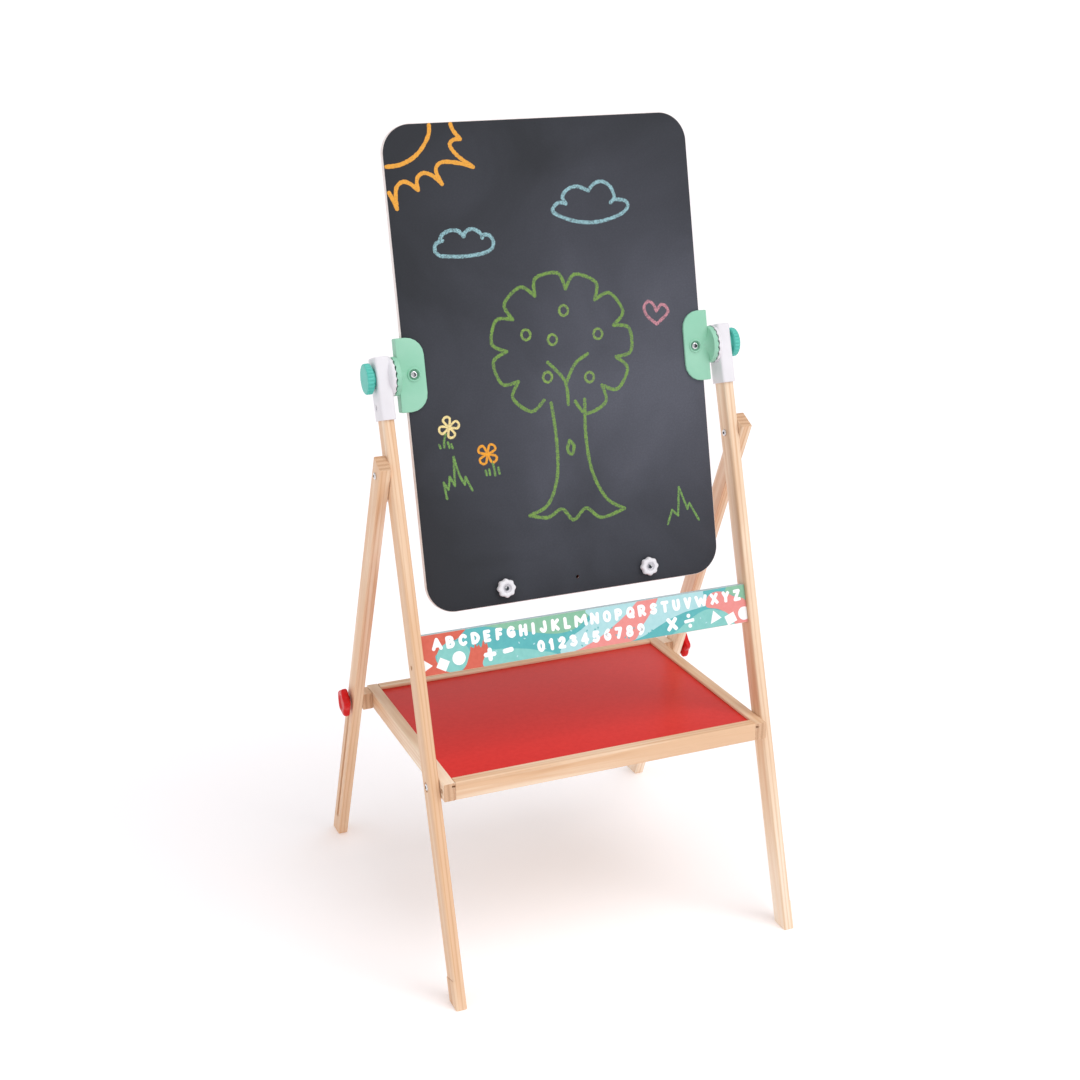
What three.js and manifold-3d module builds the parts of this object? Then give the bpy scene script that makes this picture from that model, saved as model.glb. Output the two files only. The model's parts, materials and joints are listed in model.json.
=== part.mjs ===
// A children's folding easel: two leaning front posts carry a board that turns between clamps,
// two slotted rear legs hinge on the posts, and a framed tray ties both pairs of legs together.
// Millimetres, +Z up, front towards -Y, the floor at z = 0 and the origin under the middle.
import * as THREE from "three";
import { mergeVertices } from "three/addons/utils/BufferGeometryUtils.js";
import Module from "manifold-3d";

const wasm = await Module();
wasm.setup();

// ---------------------------------------------------------------- driving dimensions

const GAP = 0.3; // between pieces that touch or lie in each other
const RUNNING_GAP = 0.4; // beside pieces that swing past each other
const SEGMENTS = 12; // round a full circle of the small turned pieces
const DISC_SEGMENTS = 28; // round the rosette discs
const SCREW_SEGMENTS = 8; // round the wood screws and dowels
const BAR_CORNER = 2; // segments round a bar's edge, a slot's end, a sheet's and a plate's corner
const SLOT_CORNER = 4;
const SHEET_CORNER = 6;
const PLATE_CORNER = 8;
const HEXAGON = 6; // sides of a hexagon
const OVERCUT = 1; // how far a cut runs past the surface it opens
const ROOT = 0.5; // how deep one joined solid starts inside the other

const board = {
  width: 440,
  height: 650,
  cornerRadius: 40,
  coreThickness: 8,
  faceThickness: 0.7,
  faceInset: 1,
  tilt: THREE.MathUtils.degToRad(11.1),
  peepholeRadius: 2.4,
};

const post = {
  lean: THREE.MathUtils.degToRad(15.4),
  width: 15,
  depth: 30,
  edgeRadius: 3,
  tiltAxisHeight: 820,
  endBelowTiltAxis: 24,
  footBossHeight: 37,
  footBossThickness: 1,
  headRecessDepth: 1.6, // of the tray bolt's head in the outer side
};

const rearLeg = {
  width: 15,
  depth: 30,
  edgeRadius: 1.2,
  pivotBelowTiltAxis: 123,
  endAbovePivot: 21,
  bossBelowPivot: 36,
  bossThickness: 1,
  slotPlay: 1, // of the bolt across its slot
};

const tray = {
  boltHeight: 290.3,
  railHeight: 26,
  railWidth: 16.8,
  railEdgeRadius: 1.2,
  frontOverhang: 27.9,
  rearOverhang: 4.4,
  panelThickness: 3,
  grooveDepth: 5,
  spacerLength: 27,
  spacerHeight: 25,
  spacerFootClearance: 1,
};

const strip = { height: 55, thickness: 15, edgeRadius: 2, belowBoardSwing: 21, recess: 7 };

const bracket = {
  wall: 2.5,
  edgeRadius: 3.5,
  belowAxis: 56.5,
  aboveAxis: 27,
  discRadius: 26.5,
  discThickness: 4.6,
  screwY: 4,
  screwBelowPostEnd: 15,
  screwLength: 11, // it ends inside the post
};

const clamp = {
  plateThickness: 3,
  plateReach: 28.5, // how far the side plates cover the board
  web: 9.2,
  height: 98.5,
  innerCornerRadius: 24,
  outerCornerRadius: 2,
  discRadius: 26,
  discThickness: 7,
  coveLength: 10,
  coveSteps: 4,
  screwInset: 12, // of the screw's axis from the board's edge
  bossWall: 1.9, // round the screw head at the boss's foot
  bossHeight: 2,
  headSeatWall: 1.7, // of plate left under the screw head
  screwEndRoom: 1, // between the screw's end and the far face of the board
};

const rosette = { ridges: 8, ridgeWidth: 1.5, hubRadius: 10, hubDepth: 1.2 };

const bolt = {
  radius: 3,
  headLip: 3.3, // of the head beyond the shank
  headHeight: 2,
  headFlat: 0.65, // of the dome's flat top, as a share of the head's radius
  sleeveWall: 1.2,
  socketRadius: 2.2,
};
const sleeveFit = { boltEnd: 2, legBarrelEnd: 12, trayBarrelEnd: 10 }; // in from the sleeve's side
const tiltBolt = { radius: 4, headRadius: 7.5, headHeight: 4.6 };
const woodScrew = { radius: 2, headRadius: 3.2, headHeight: 2, sunk: 1.5, length: 24 };

const tiltKnob = {
  radius: 20.5,
  thickness: 10,
  lobes: 24,
  lobeDepth: 0.8,
  pointsPerLobe: 3,
  collarRadius: 11,
  collarHeight: 2.6,
};
const slotKnob = {
  radius: 22,
  thickness: 11,
  lobes: 5,
  lobeDepth: 5,
  pointsPerLobe: 8,
  collarRadius: 9,
  collarHeight: 2,
};
const clampKnob = {
  radius: 13.2,
  thickness: 8,
  lobes: 8,
  lobeDepth: 1.5,
  pointsPerLobe: 6,
  collarRadius: 8,
  collarHeight: 2,
  recessRadius: 6,
  recessDepth: 2,
};
const knobEdge = 1.4; // chamfer round a knob's rim
const knobCap = 3; // left between a blind bore's end and the knob's face
const washer = { radius: 8, thickness: 1.2 };
const insert = { radius: 5, length: 12.7 };

const paperClamp = {
  length: 300,
  height: 20,
  thickness: 6,
  cornerRadius: 8,
  aboveBoardEnd: 23,
  studSpacing: 216.4,
  studHeadRadius: 7,
  studHeadHeight: 3,
  studProud: 1, // of its end above the floor of the knob's recess
};
const dowel = { radius: 4, length: 24 };

const colours = {
  pine: "#e2b98c",
  slate: "#44464e",
  white: "#f2f1ef",
  mint: "#a2d9bd",
  teal: "#4fb8a9",
  red: "#d9251d",
  trayRed: "#d95048",
  print: "#8cc9bf",
  steel: "#c9ccd0",
  zinc: "#b5a26a",
};

// ---------------------------------------------------------------- places worked out from them

const boltHeadRadius = bolt.radius + bolt.headLip;
const sleeveRadius = bolt.radius + bolt.sleeveWall;
const trayCapRadius = sleeveRadius + bolt.sleeveWall;

// Outwards from the board: its clamp, the two rosette discs, the bracket, the post and the rear leg.
const boardHalf = board.coreThickness / 2 + GAP + board.faceThickness;
const clampOuterX = board.width / 2 + GAP + clamp.web;
const clampFaceX = clampOuterX + clamp.discThickness;
const bracketFaceX = clampFaceX + GAP;
const bracketInnerX = bracketFaceX + bracket.discThickness;
const postInnerX = bracketInnerX + bracket.wall;
const postCentreX = postInnerX + post.width / 2;
const postOuterX = postInnerX + post.width;
const bracketOuterX = postOuterX + bracket.wall;
const legInnerX = postOuterX + post.footBossThickness + GAP;
const legOuterX = legInnerX + rearLeg.width;

// Height up to distance along a front post, and a point of the post's middle line.
const alongPost = (height) => height / Math.cos(post.lean);
const footMiddleY = post.depth / 2 / Math.cos(post.lean);
const postMiddleY = (height) => footMiddleY + height * Math.tan(post.lean);

const tiltAxis = new THREE.Vector3(0, postMiddleY(post.tiltAxisHeight), post.tiltAxisHeight);
const legPivotHeight = post.tiltAxisHeight - rearLeg.pivotBelowTiltAxis;
const legPivot = new THREE.Vector3(0, postMiddleY(legPivotHeight), legPivotHeight);
const trayPivot = new THREE.Vector3(0, postMiddleY(tray.boltHeight), tray.boltHeight);

// The spacers just clear the ends of the front posts when the tray folds down between them.
const postEndReach = alongPost(tray.boltHeight) + (post.depth / 2) * Math.tan(post.lean);
const spacerFrontY = postEndReach + tray.spacerFootClearance;
const slotBoltY = spacerFrontY + tray.spacerLength / 2;
const slotBolt = new THREE.Vector3(0, trayPivot.y + slotBoltY, trayPivot.z);

const legLean = Math.atan2(slotBolt.y - legPivot.y, legPivot.z - slotBolt.z);
const openDistance = Math.hypot(slotBolt.y - legPivot.y, legPivot.z - slotBolt.z);
const foldedDistance = alongPost(legPivotHeight - tray.boltHeight) + slotBoltY;
const legFootBackY =
  legPivot.y + legPivot.z * Math.tan(legLean) + rearLeg.depth / 2 / Math.cos(legLean);

const railOuterX = postInnerX - RUNNING_GAP;
const railInnerX = railOuterX - tray.railWidth;
const railFrontY = -tray.frontOverhang;
const railBackY = slotBoltY + tray.spacerLength / 2 + tray.rearOverhang;
const panelTop = trayCapRadius + RUNNING_GAP + tray.panelThickness;

const clampScrewX = board.width / 2 - clamp.screwInset;
const clampHalf = boardHalf + GAP + clamp.plateThickness;
const clampHeadSeat = boardHalf + GAP + clamp.headSeatWall;
const paperClampZ = -board.height / 2 + paperClamp.aboveBoardEnd;
const studX = paperClamp.studSpacing / 2;

// ---------------------------------------------------------------- solids, cuts and joins

function solidOf(geometry) {
  const bare = new THREE.BufferGeometry();
  bare.setAttribute("position", geometry.getAttribute("position"));
  bare.setIndex(geometry.getIndex());
  const merged = mergeVertices(bare, 1e-4);
  const vertProperties = merged.getAttribute("position").array;
  const triVerts = new Uint32Array(merged.getIndex().array);
  return new wasm.Manifold(new wasm.Mesh({ numProp: 3, vertProperties, triVerts }));
}

function geometryOf(solid) {
  const mesh = solid.getMesh();
  const geometry = new THREE.BufferGeometry();
  geometry.setAttribute("position", new THREE.BufferAttribute(mesh.vertProperties, 3));
  geometry.setIndex(new THREE.BufferAttribute(mesh.triVerts, 1));
  return geometry;
}

function cut(body, tools) {
  return geometryOf(tools.reduce((solid, tool) => solid.subtract(solidOf(tool)), solidOf(body)));
}

function join(pieces) {
  const [first, ...rest] = pieces;
  return geometryOf(rest.reduce((solid, piece) => solid.add(solidOf(piece)), solidOf(first)));
}

// A box between two corners.
function block(low, high) {
  const size = high.map((value, axis) => value - low[axis]);
  const middle = high.map((value, axis) => (value + low[axis]) / 2);
  return new THREE.BoxGeometry(...size).translate(...middle);
}

// A rectangle with one radius for the corners at +x and one for those at -x.
function roundedRectangle(width, height, rightRadius, leftRadius = rightRadius) {
  const x = width / 2;
  const y = height / 2;
  const shape = new THREE.Shape();
  shape.moveTo(-x + leftRadius, -y);
  shape.lineTo(x - rightRadius, -y);
  shape.absarc(x - rightRadius, -y + rightRadius, rightRadius, -Math.PI / 2, 0);
  shape.lineTo(x, y - rightRadius);
  shape.absarc(x - rightRadius, y - rightRadius, rightRadius, 0, Math.PI / 2);
  shape.lineTo(-x + leftRadius, y);
  shape.absarc(-x + leftRadius, y - leftRadius, leftRadius, Math.PI / 2, Math.PI);
  shape.lineTo(-x, -y + leftRadius);
  shape.absarc(-x + leftRadius, -y + leftRadius, leftRadius, Math.PI, Math.PI * 1.5);
  return shape;
}

// A bar of rounded section along Z, from z = low to z = high, centred on x = y = 0.
function barZ(width, depth, radius, low, high, curveSegments = BAR_CORNER) {
  const options = { depth: high - low, bevelEnabled: false, curveSegments };
  const shape = roundedRectangle(width, depth, radius);
  return new THREE.ExtrudeGeometry(shape, options).translate(0, 0, low);
}

// The same bar laid along Y: its width stays on X and its depth stands on Z.
function barY(width, height, radius, low, high) {
  return barZ(width, height, radius, -high, -low).rotateX(Math.PI / 2);
}

// The same bar laid along X: its height stands on Z and its depth stays on Y.
function barX(depth, height, radius, low, high) {
  return barZ(height, depth, radius, low, high).rotateY(Math.PI / 2);
}

// A round rod along X.
function rodX(radius, low, high, segments = SEGMENTS) {
  const rod = new THREE.CylinderGeometry(radius, radius, high - low, segments);
  return rod.rotateZ(-Math.PI / 2).translate((low + high) / 2, 0, 0);
}

// A round rod along Y.
function rodY(radius, low, high, segments = SEGMENTS) {
  const rod = new THREE.CylinderGeometry(radius, radius, high - low, segments);
  return rod.translate(0, (low + high) / 2, 0);
}

// A body turned about X: the outline lists [x, radius] with x falling, from axis to axis.
function turnedX(outline, segments = SEGMENTS) {
  const points = outline.map(([x, radius]) => new THREE.Vector2(radius, -x));
  return new THREE.LatheGeometry(points, segments).rotateZ(Math.PI / 2);
}

// A flat sheet standing in the XZ plane, between two values of y.
function sheet(shape, low, high, curveSegments = SHEET_CORNER) {
  const options = { depth: high - low, bevelEnabled: false, curveSegments };
  return new THREE.ExtrudeGeometry(shape, options).rotateX(Math.PI / 2).translate(0, high, 0);
}

// ---------------------------------------------------------------- repeated fittings

// A domed bolt head whose flat side is at x = 0 and whose dome points to +x.
function domedHead(radius, height) {
  const rim = height / 2;
  const outline = [
    [height, 0],
    [height, radius * bolt.headFlat],
    [rim, radius],
    [0, radius],
    [0, 0],
  ];
  const socket = rodX(bolt.socketRadius, height / 2, height + OVERCUT, HEXAGON);
  return cut(turnedX(outline), [socket]);
}

// A socket bolt along X with its head's seat at x = seat and its shank reaching in to x = end.
function socketBolt(seat, end) {
  const head = domedHead(boltHeadRadius, bolt.headHeight).translate(seat, 0, 0);
  return join([head, rodX(bolt.radius, end, seat + ROOT)]);
}

// A sleeve nut along X that faces the bolt: its cap's seat is at x = seat, towards +x.
function sleeveNut(seat, end, capRadius = boltHeadRadius) {
  const cap = domedHead(capRadius, bolt.headHeight).rotateZ(Math.PI).translate(seat, 0, 0);
  const barrel = rodX(sleeveRadius, seat - ROOT, end);
  return cut(join([cap, barrel]), [rodX(bolt.radius + GAP, seat, end + OVERCUT)]);
}

// A wood screw along X, driven towards -x, with its head sunk under the surface x = surface.
function sunkScrew(surface, length = woodScrew.length) {
  const top = surface - woodScrew.sunk;
  const throat = top - woodScrew.headHeight;
  return turnedX([
    [top, 0],
    [top, woodScrew.headRadius],
    [throat, woodScrew.radius],
    [top - length, woodScrew.radius],
    [top - length - woodScrew.radius, 0],
  ], SCREW_SEGMENTS);
}

// The hole such a screw needs, cut from beyond the surface to past the screw's point.
function sunkScrewHole(surface, length = woodScrew.length) {
  const seat = surface - woodScrew.sunk - woodScrew.headHeight - GAP;
  const point = surface - woodScrew.sunk - length - woodScrew.radius - GAP;
  return join([
    rodX(woodScrew.headRadius + GAP, seat, surface + OVERCUT, SCREW_SEGMENTS),
    rodX(woodScrew.radius + GAP, point, seat + GAP, SCREW_SEGMENTS),
  ]);
}

// A knob's outline: a circle whose radius swings inwards a number of times round it.
function lobedShape(radius, swing, count, pointsEach) {
  const total = count * pointsEach;
  const points = Array.from({ length: total }, (_, i) => {
    const angle = (i / total) * Math.PI * 2;
    const reach = radius - (swing / 2) * (1 - Math.cos(angle * count));
    return new THREE.Vector2(reach * Math.cos(angle), reach * Math.sin(angle));
  });
  return new THREE.Shape(points);
}

// A hand knob along X: its collar starts at x = seat and its rim faces +x.
function handKnob(knob, seat) {
  const shape = lobedShape(knob.radius - knobEdge, knob.lobeDepth, knob.lobes, knob.pointsPerLobe);
  const rimStart = seat + knob.collarHeight;
  const rim = new THREE.ExtrudeGeometry(shape, {
    depth: knob.thickness - 2 * knobEdge,
    bevelEnabled: true,
    bevelThickness: knobEdge,
    bevelSize: knobEdge,
    bevelSegments: 1,
  });
  rim.rotateY(Math.PI / 2).translate(rimStart + knobEdge, 0, 0);
  const collar = rodX(knob.collarRadius, seat, rimStart + knobEdge);
  return join([rim, collar]);
}

// Crossed ridges' grooves for a rosette face at x = face.
function rosetteCuts(face, radius) {
  const side = rosette.ridgeWidth / Math.SQRT2;
  const grooves = Array.from({ length: rosette.ridges }, (_, i) => {
    const groove = new THREE.BoxGeometry(side, side, 2 * (radius + OVERCUT)).rotateY(Math.PI / 4);
    return groove.rotateX((i / rosette.ridges) * Math.PI).translate(face, 0, 0);
  });
  const hub = rodX(rosette.hubRadius, face - rosette.hubDepth, face + rosette.hubDepth);
  return [...grooves, hub];
}

// ---------------------------------------------------------------- front frame

// Everything under the floor, seen from a leg that leans by the angle, a distance up from its foot.
function underFloor(lean, distance) {
  const size = 200;
  const below = new THREE.BoxGeometry(size, size, size).translate(0, 0, -size / 2);
  return below.rotateX(lean).translate(legInnerX, 0, -distance);
}

const tiltAxisZ = alongPost(post.tiltAxisHeight);
const postTopZ = tiltAxisZ - post.endBelowTiltAxis;
const stripZ = tiltAxisZ - board.height / 2 - strip.belowBoardSwing - strip.height / 2;
const stripScrewZ = stripZ - strip.height / 4;
const stripDowelZ = stripZ + strip.height / 4;
const stripY = -post.depth / 2 + strip.recess + strip.thickness / 2;
const bracketScrewZ = postTopZ - bracket.screwBelowPostEnd;
const trayPivotZ = alongPost(tray.boltHeight);
const headRecessRadius = boltHeadRadius + RUNNING_GAP + GAP;

function frontPost() {
  const below = -post.depth;
  const shaft = barZ(post.width, post.depth, post.edgeRadius, below, postTopZ);
  const footWidth = post.width + post.footBossThickness;
  const foot = barZ(footWidth, post.depth, post.edgeRadius, below, post.footBossHeight);
  foot.translate(post.footBossThickness / 2, 0, 0);
  const whole = join([shaft, foot]).translate(postCentreX, 0, 0);
  const through = (radius) => rodX(radius, postInnerX - OVERCUT, postOuterX + OVERCUT);
  const recessFloor = postOuterX - post.headRecessDepth;
  const pegEnd = postInnerX + dowel.length / 2 + GAP;
  const peg = rodX(dowel.radius + GAP, postInnerX - OVERCUT, pegEnd, SCREW_SEGMENTS);
  return cut(whole, [
    underFloor(post.lean, 0),
    through(sleeveRadius + GAP).translate(0, 0, alongPost(legPivotHeight)),
    through(bolt.radius + GAP).translate(0, 0, trayPivotZ),
    rodX(headRecessRadius, recessFloor, postOuterX + OVERCUT).translate(0, 0, trayPivotZ),
    sunkScrewHole(postOuterX).translate(0, stripY, stripScrewZ),
    peg.translate(0, stripY, stripDowelZ),
    sunkScrewHole(bracketOuterX, bracket.screwLength).translate(0, bracket.screwY, bracketScrewZ),
  ]);
}

function postBracket() {
  const width = post.width + 2 * bracket.wall;
  const depth = post.depth + 2 * bracket.wall;
  const low = tiltAxisZ - bracket.belowAxis;
  const body = barZ(width, depth, bracket.edgeRadius, low, tiltAxisZ + bracket.aboveAxis);
  const disc = turnedX(
    [
      [bracketInnerX + bracket.wall, 0],
      [bracketInnerX + bracket.wall, bracket.discRadius - bracket.wall],
      [bracketInnerX, bracket.discRadius],
      [bracketFaceX, bracket.discRadius],
      [bracketFaceX, 0],
    ],
    DISC_SEGMENTS,
  );
  disc.translate(0, 0, tiltAxisZ);
  const whole = join([body.translate(postCentreX, 0, 0), disc]);
  const socketRadius = post.edgeRadius + GAP;
  const socketWidth = post.width + 2 * GAP;
  const socketDepth = post.depth + 2 * GAP;
  const socket = barZ(socketWidth, socketDepth, socketRadius, low - OVERCUT, postTopZ + GAP);
  const bore = rodX(tiltBolt.radius + GAP, bracketFaceX - OVERCUT, bracketOuterX + OVERCUT);
  return cut(whole, [
    socket.translate(postCentreX, 0, 0),
    bore.translate(0, 0, tiltAxisZ),
    ...rosetteCuts(bracketFaceX, bracket.discRadius).map((tool) => tool.translate(0, 0, tiltAxisZ)),
    sunkScrewHole(bracketOuterX, bracket.screwLength).translate(0, bracket.screwY, bracketScrewZ),
  ]);
}

function alphabetStrip() {
  const end = postInnerX - GAP;
  const bar = barX(strip.thickness, strip.height, strip.edgeRadius, -end, end);
  const holes = [-1, 1].flatMap((side) => {
    const turn = side < 0 ? Math.PI : 0;
    const screw = sunkScrewHole(postOuterX).translate(0, 0, stripScrewZ - stripZ);
    const pegEnd = end - dowel.length / 2 + GAP;
    const peg = rodX(dowel.radius + GAP, pegEnd, end + OVERCUT, SCREW_SEGMENTS);
    peg.translate(0, 0, stripDowelZ - stripZ);
    return [screw.rotateZ(turn), peg.rotateZ(turn)];
  });
  return cut(bar, holes);
}

function stripDowel() {
  const middle = postInnerX - GAP / 2;
  const half = dowel.length / 2 - GAP;
  return rodX(dowel.radius, middle - half, middle + half, SCREW_SEGMENTS);
}

// ---------------------------------------------------------------- rear legs

function rearLegBody() {
  const foot = -legPivot.z / Math.cos(legLean) - rearLeg.depth;
  const shaft = barZ(rearLeg.width, rearLeg.depth, rearLeg.edgeRadius, foot, rearLeg.endAbovePivot);
  const bossWidth = rearLeg.width + rearLeg.bossThickness;
  const boss = barZ(
    bossWidth,
    rearLeg.depth,
    rearLeg.edgeRadius,
    -rearLeg.bossBelowPivot,
    rearLeg.endAbovePivot,
  );
  boss.translate(-rearLeg.bossThickness / 2, 0, 0);
  const whole = join([shaft, boss]).translate(legInnerX + rearLeg.width / 2, 0, 0);
  const slotEnd = foldedDistance + bolt.radius + GAP;
  const slotStart = openDistance - bolt.radius - GAP;
  const slotWidth = 2 * bolt.radius + rearLeg.slotPlay;
  const slotSection = [slotWidth, slotEnd - slotStart, 0.499 * slotWidth];
  const slot = barZ(...slotSection, legInnerX - OVERCUT, legOuterX + OVERCUT, SLOT_CORNER);
  slot.rotateX(Math.PI / 2).rotateZ(Math.PI / 2).translate(0, 0, -(slotStart + slotEnd) / 2);
  const boreStart = legInnerX - rearLeg.bossThickness - OVERCUT;
  return cut(whole, [
    underFloor(-legLean, legPivot.z / Math.cos(legLean)),
    rodX(bolt.radius + GAP, boreStart, legOuterX + OVERCUT),
    slot,
  ]);
}

// ---------------------------------------------------------------- board

function boardOutline(inset) {
  const radius = board.cornerRadius - inset;
  return roundedRectangle(board.width - 2 * inset, board.height - 2 * inset, radius);
}

// Holes through a board layer for the studs, the peephole and the clamp sleeves.
function boardHoles(low, high) {
  const hole = (radius, x, z) => rodY(radius, low - OVERCUT, high + OVERCUT).translate(x, 0, z);
  const sides = [-1, 1];
  return [
    ...sides.map((side) => hole(bolt.radius + 2 * GAP, side * studX, paperClampZ)),
    ...sides.map((side) => hole(sleeveRadius + GAP, side * clampScrewX, 0)),
    hole(board.peepholeRadius, 0, paperClampZ),
  ];
}

function boardLayer(inset, low, high) {
  return cut(sheet(boardOutline(inset), low, high), boardHoles(low, high));
}

// The clamp's hub: a concave cove that grows out of the side plates into the rosette disc.
function clampHub() {
  const coveStart = clampOuterX - clamp.coveLength;
  const cove = Array.from({ length: clamp.coveSteps + 1 }, (_, i) => {
    const turn = ((1 - i / clamp.coveSteps) * Math.PI) / 2;
    const x = coveStart + clamp.coveLength * Math.sin(turn);
    const radius = clampHalf + (clamp.discRadius - clampHalf) * (1 - Math.cos(turn));
    return [x, radius];
  });
  const outline = [[clampFaceX, 0], [clampFaceX, clamp.discRadius], ...cove, [coveStart, 0]];
  return turnedX(outline, DISC_SEGMENTS);
}

// Front and rear bosses that hold the clamp screw's head and its sleeve's cap.
function clampBoss(direction) {
  const foot = boardHalf + GAP;
  const top = clampHalf + clamp.bossHeight;
  const radius = boltHeadRadius + GAP + clamp.bossWall;
  const topRadius = radius - clamp.bossHeight / 2;
  const cone = new THREE.CylinderGeometry(topRadius, radius, top - foot, SEGMENTS);
  cone.translate(0, (top + foot) / 2, 0);
  return cone.rotateX(direction > 0 ? 0 : Math.PI).translate(clampScrewX, 0, 0);
}

function boardClamp() {
  const width = clamp.plateReach + GAP + clamp.web;
  const corners = [clamp.outerCornerRadius, clamp.innerCornerRadius];
  const outline = roundedRectangle(width, clamp.height, ...corners);
  const channel = sheet(outline, -clampHalf, clampHalf, PLATE_CORNER);
  channel.translate(clampOuterX - width / 2, 0, 0);
  const whole = join([channel, clampHub(), clampBoss(1), clampBoss(-1)]);
  const slotX = board.width / 2 + GAP;
  const slotY = boardHalf + GAP;
  const tall = clamp.height / 2 + OVERCUT;
  const headPocketEnd = slotX + tiltBolt.headHeight + 2 * GAP;
  const sunk = (direction) => {
    const top = clampHalf + clamp.bossHeight + OVERCUT;
    const hole = rodY(boltHeadRadius + GAP, clampHeadSeat, top);
    return hole.rotateX(direction > 0 ? 0 : Math.PI).translate(clampScrewX, 0, 0);
  };
  return cut(whole, [
    block([0, -slotY, -tall], [slotX, slotY, tall]),
    sunk(1),
    sunk(-1),
    rodY(sleeveRadius + GAP, -clampHalf, clampHalf).translate(clampScrewX, 0, 0),
    rodX(tiltBolt.radius + GAP, slotX, clampFaceX + OVERCUT),
    rodX(tiltBolt.headRadius + GAP, slotX - OVERCUT, headPocketEnd, HEXAGON),
    ...rosetteCuts(clampFaceX, clamp.discRadius),
  ]);
}

const tiltKnobSeat = bracketOuterX + GAP;
const tiltBoltEnd = tiltKnobSeat + tiltKnob.collarHeight + tiltKnob.thickness - knobCap;

// The tilt bolt's hexagon head hides in the clamp's web and its shank ends inside the knob.
function tiltBoltBody() {
  const head = board.width / 2 + 2 * GAP;
  const neck = head + tiltBolt.headHeight;
  const hexagon = rodX(tiltBolt.headRadius, head, neck, HEXAGON);
  return join([hexagon, rodX(tiltBolt.radius, neck - ROOT, tiltBoltEnd)]);
}

function tiltKnobBody() {
  const bore = rodX(tiltBolt.radius + GAP, tiltKnobSeat - OVERCUT, tiltBoltEnd + GAP);
  return cut(handKnob(tiltKnob, tiltKnobSeat), [bore]);
}

// Clamp fittings lie along Y: the screw from the front, its sleeve from the rear.
const clampShank = clampHeadSeat + boardHalf - clamp.screwEndRoom;

function clampScrew() {
  const screw = socketBolt(0, -clampShank);
  return screw.rotateZ(-Math.PI / 2).translate(0, -clampHeadSeat - GAP, 0);
}

function clampSleeve() {
  const sleeve = sleeveNut(0, clampShank);
  return sleeve.rotateZ(-Math.PI / 2).translate(0, clampHeadSeat + GAP, 0);
}

// ---------------------------------------------------------------- paper clamp

function paperClampBar() {
  const low = boardHalf + GAP;
  const high = low + paperClamp.thickness;
  const { length, height, cornerRadius } = paperClamp;
  const hole = (x) => rodY(bolt.radius + GAP, low - OVERCUT, high + OVERCUT).translate(x, 0, 0);
  return cut(sheet(roundedRectangle(length, height, cornerRadius), low, high), [
    hole(-studX),
    hole(studX),
  ]);
}

const clampKnobSeat = boardHalf + GAP;
const clampKnobFace = clampKnobSeat + clampKnob.collarHeight + clampKnob.thickness;
const clampKnobFloor = clampKnobFace - clampKnob.recessDepth;

// A stud with a domed head behind the bar and its end in the knob's recess.
function clampStud() {
  const seat = boardHalf + GAP + paperClamp.thickness + GAP;
  const tip = clampKnobFloor + paperClamp.studProud;
  const head = domedHead(paperClamp.studHeadRadius, paperClamp.studHeadHeight);
  head.rotateZ(Math.PI / 2).translate(0, seat, 0);
  return join([head, rodY(bolt.radius, -tip, seat + ROOT)]);
}

function clampKnobBody() {
  const recess = rodX(clampKnob.recessRadius, clampKnobFloor, clampKnobFace + OVERCUT);
  const bore = rodX(bolt.radius + GAP, clampKnobSeat - OVERCUT, clampKnobFace + OVERCUT);
  return cut(handKnob(clampKnob, clampKnobSeat), [recess, bore]).rotateZ(-Math.PI / 2);
}

// ---------------------------------------------------------------- tray

// Cut from a rail's inner side to take the panel's edge.
function panelGroove(low, high) {
  const top = panelTop + GAP;
  const bottom = panelTop - tray.panelThickness - GAP;
  return block([low[0], low[1], bottom], [high[0], high[1], top]);
}

function railScrewHoles(surface) {
  const frontY = railFrontY + tray.railWidth / 2;
  const backY = railBackY - tray.railWidth / 2;
  return [frontY, backY].map((y) => sunkScrewHole(surface).translate(0, y, 0));
}

function sideRail() {
  const bar = barY(tray.railWidth, tray.railHeight, tray.railEdgeRadius, railFrontY, railBackY);
  const start = railInnerX - OVERCUT;
  const grooveLow = [start, railFrontY - OVERCUT];
  const grooveHigh = [railInnerX + tray.grooveDepth, railBackY + OVERCUT];
  const sleeveEnd = railInnerX + sleeveFit.trayBarrelEnd + 2 * GAP;
  return cut(bar.translate((railInnerX + railOuterX) / 2, 0, 0), [
    panelGroove(grooveLow, grooveHigh),
    rodX(bolt.radius + GAP, start, railOuterX + OVERCUT),
    rodX(sleeveRadius + GAP, start, sleeveEnd),
    ...railScrewHoles(railOuterX),
  ]);
}

// The cross rail's outer face is at y = 0 and the panel lies on its +y side.
function crossRail() {
  const end = railInnerX - GAP;
  const bar = barX(tray.railWidth, tray.railHeight, tray.railEdgeRadius, -end, end);
  bar.translate(0, tray.railWidth / 2, 0);
  const grooveStart = tray.railWidth - tray.grooveDepth;
  const holes = [0, Math.PI].map((turn) =>
    sunkScrewHole(railOuterX).rotateZ(turn).translate(0, tray.railWidth / 2, 0),
  );
  const grooveHigh = [end + OVERCUT, tray.railWidth + OVERCUT];
  const groove = panelGroove([-end - OVERCUT, grooveStart], grooveHigh);
  return cut(bar, [groove, ...holes]);
}

function trayPanel() {
  const reach = tray.railWidth - tray.grooveDepth + GAP;
  const x = railOuterX - reach;
  const low = panelTop - tray.panelThickness;
  return block([-x, railFrontY + reach, low], [x, railBackY - reach, panelTop]);
}

const spacerInnerX = railOuterX + GAP;
const spacerOuterX = legInnerX - GAP;

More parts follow.
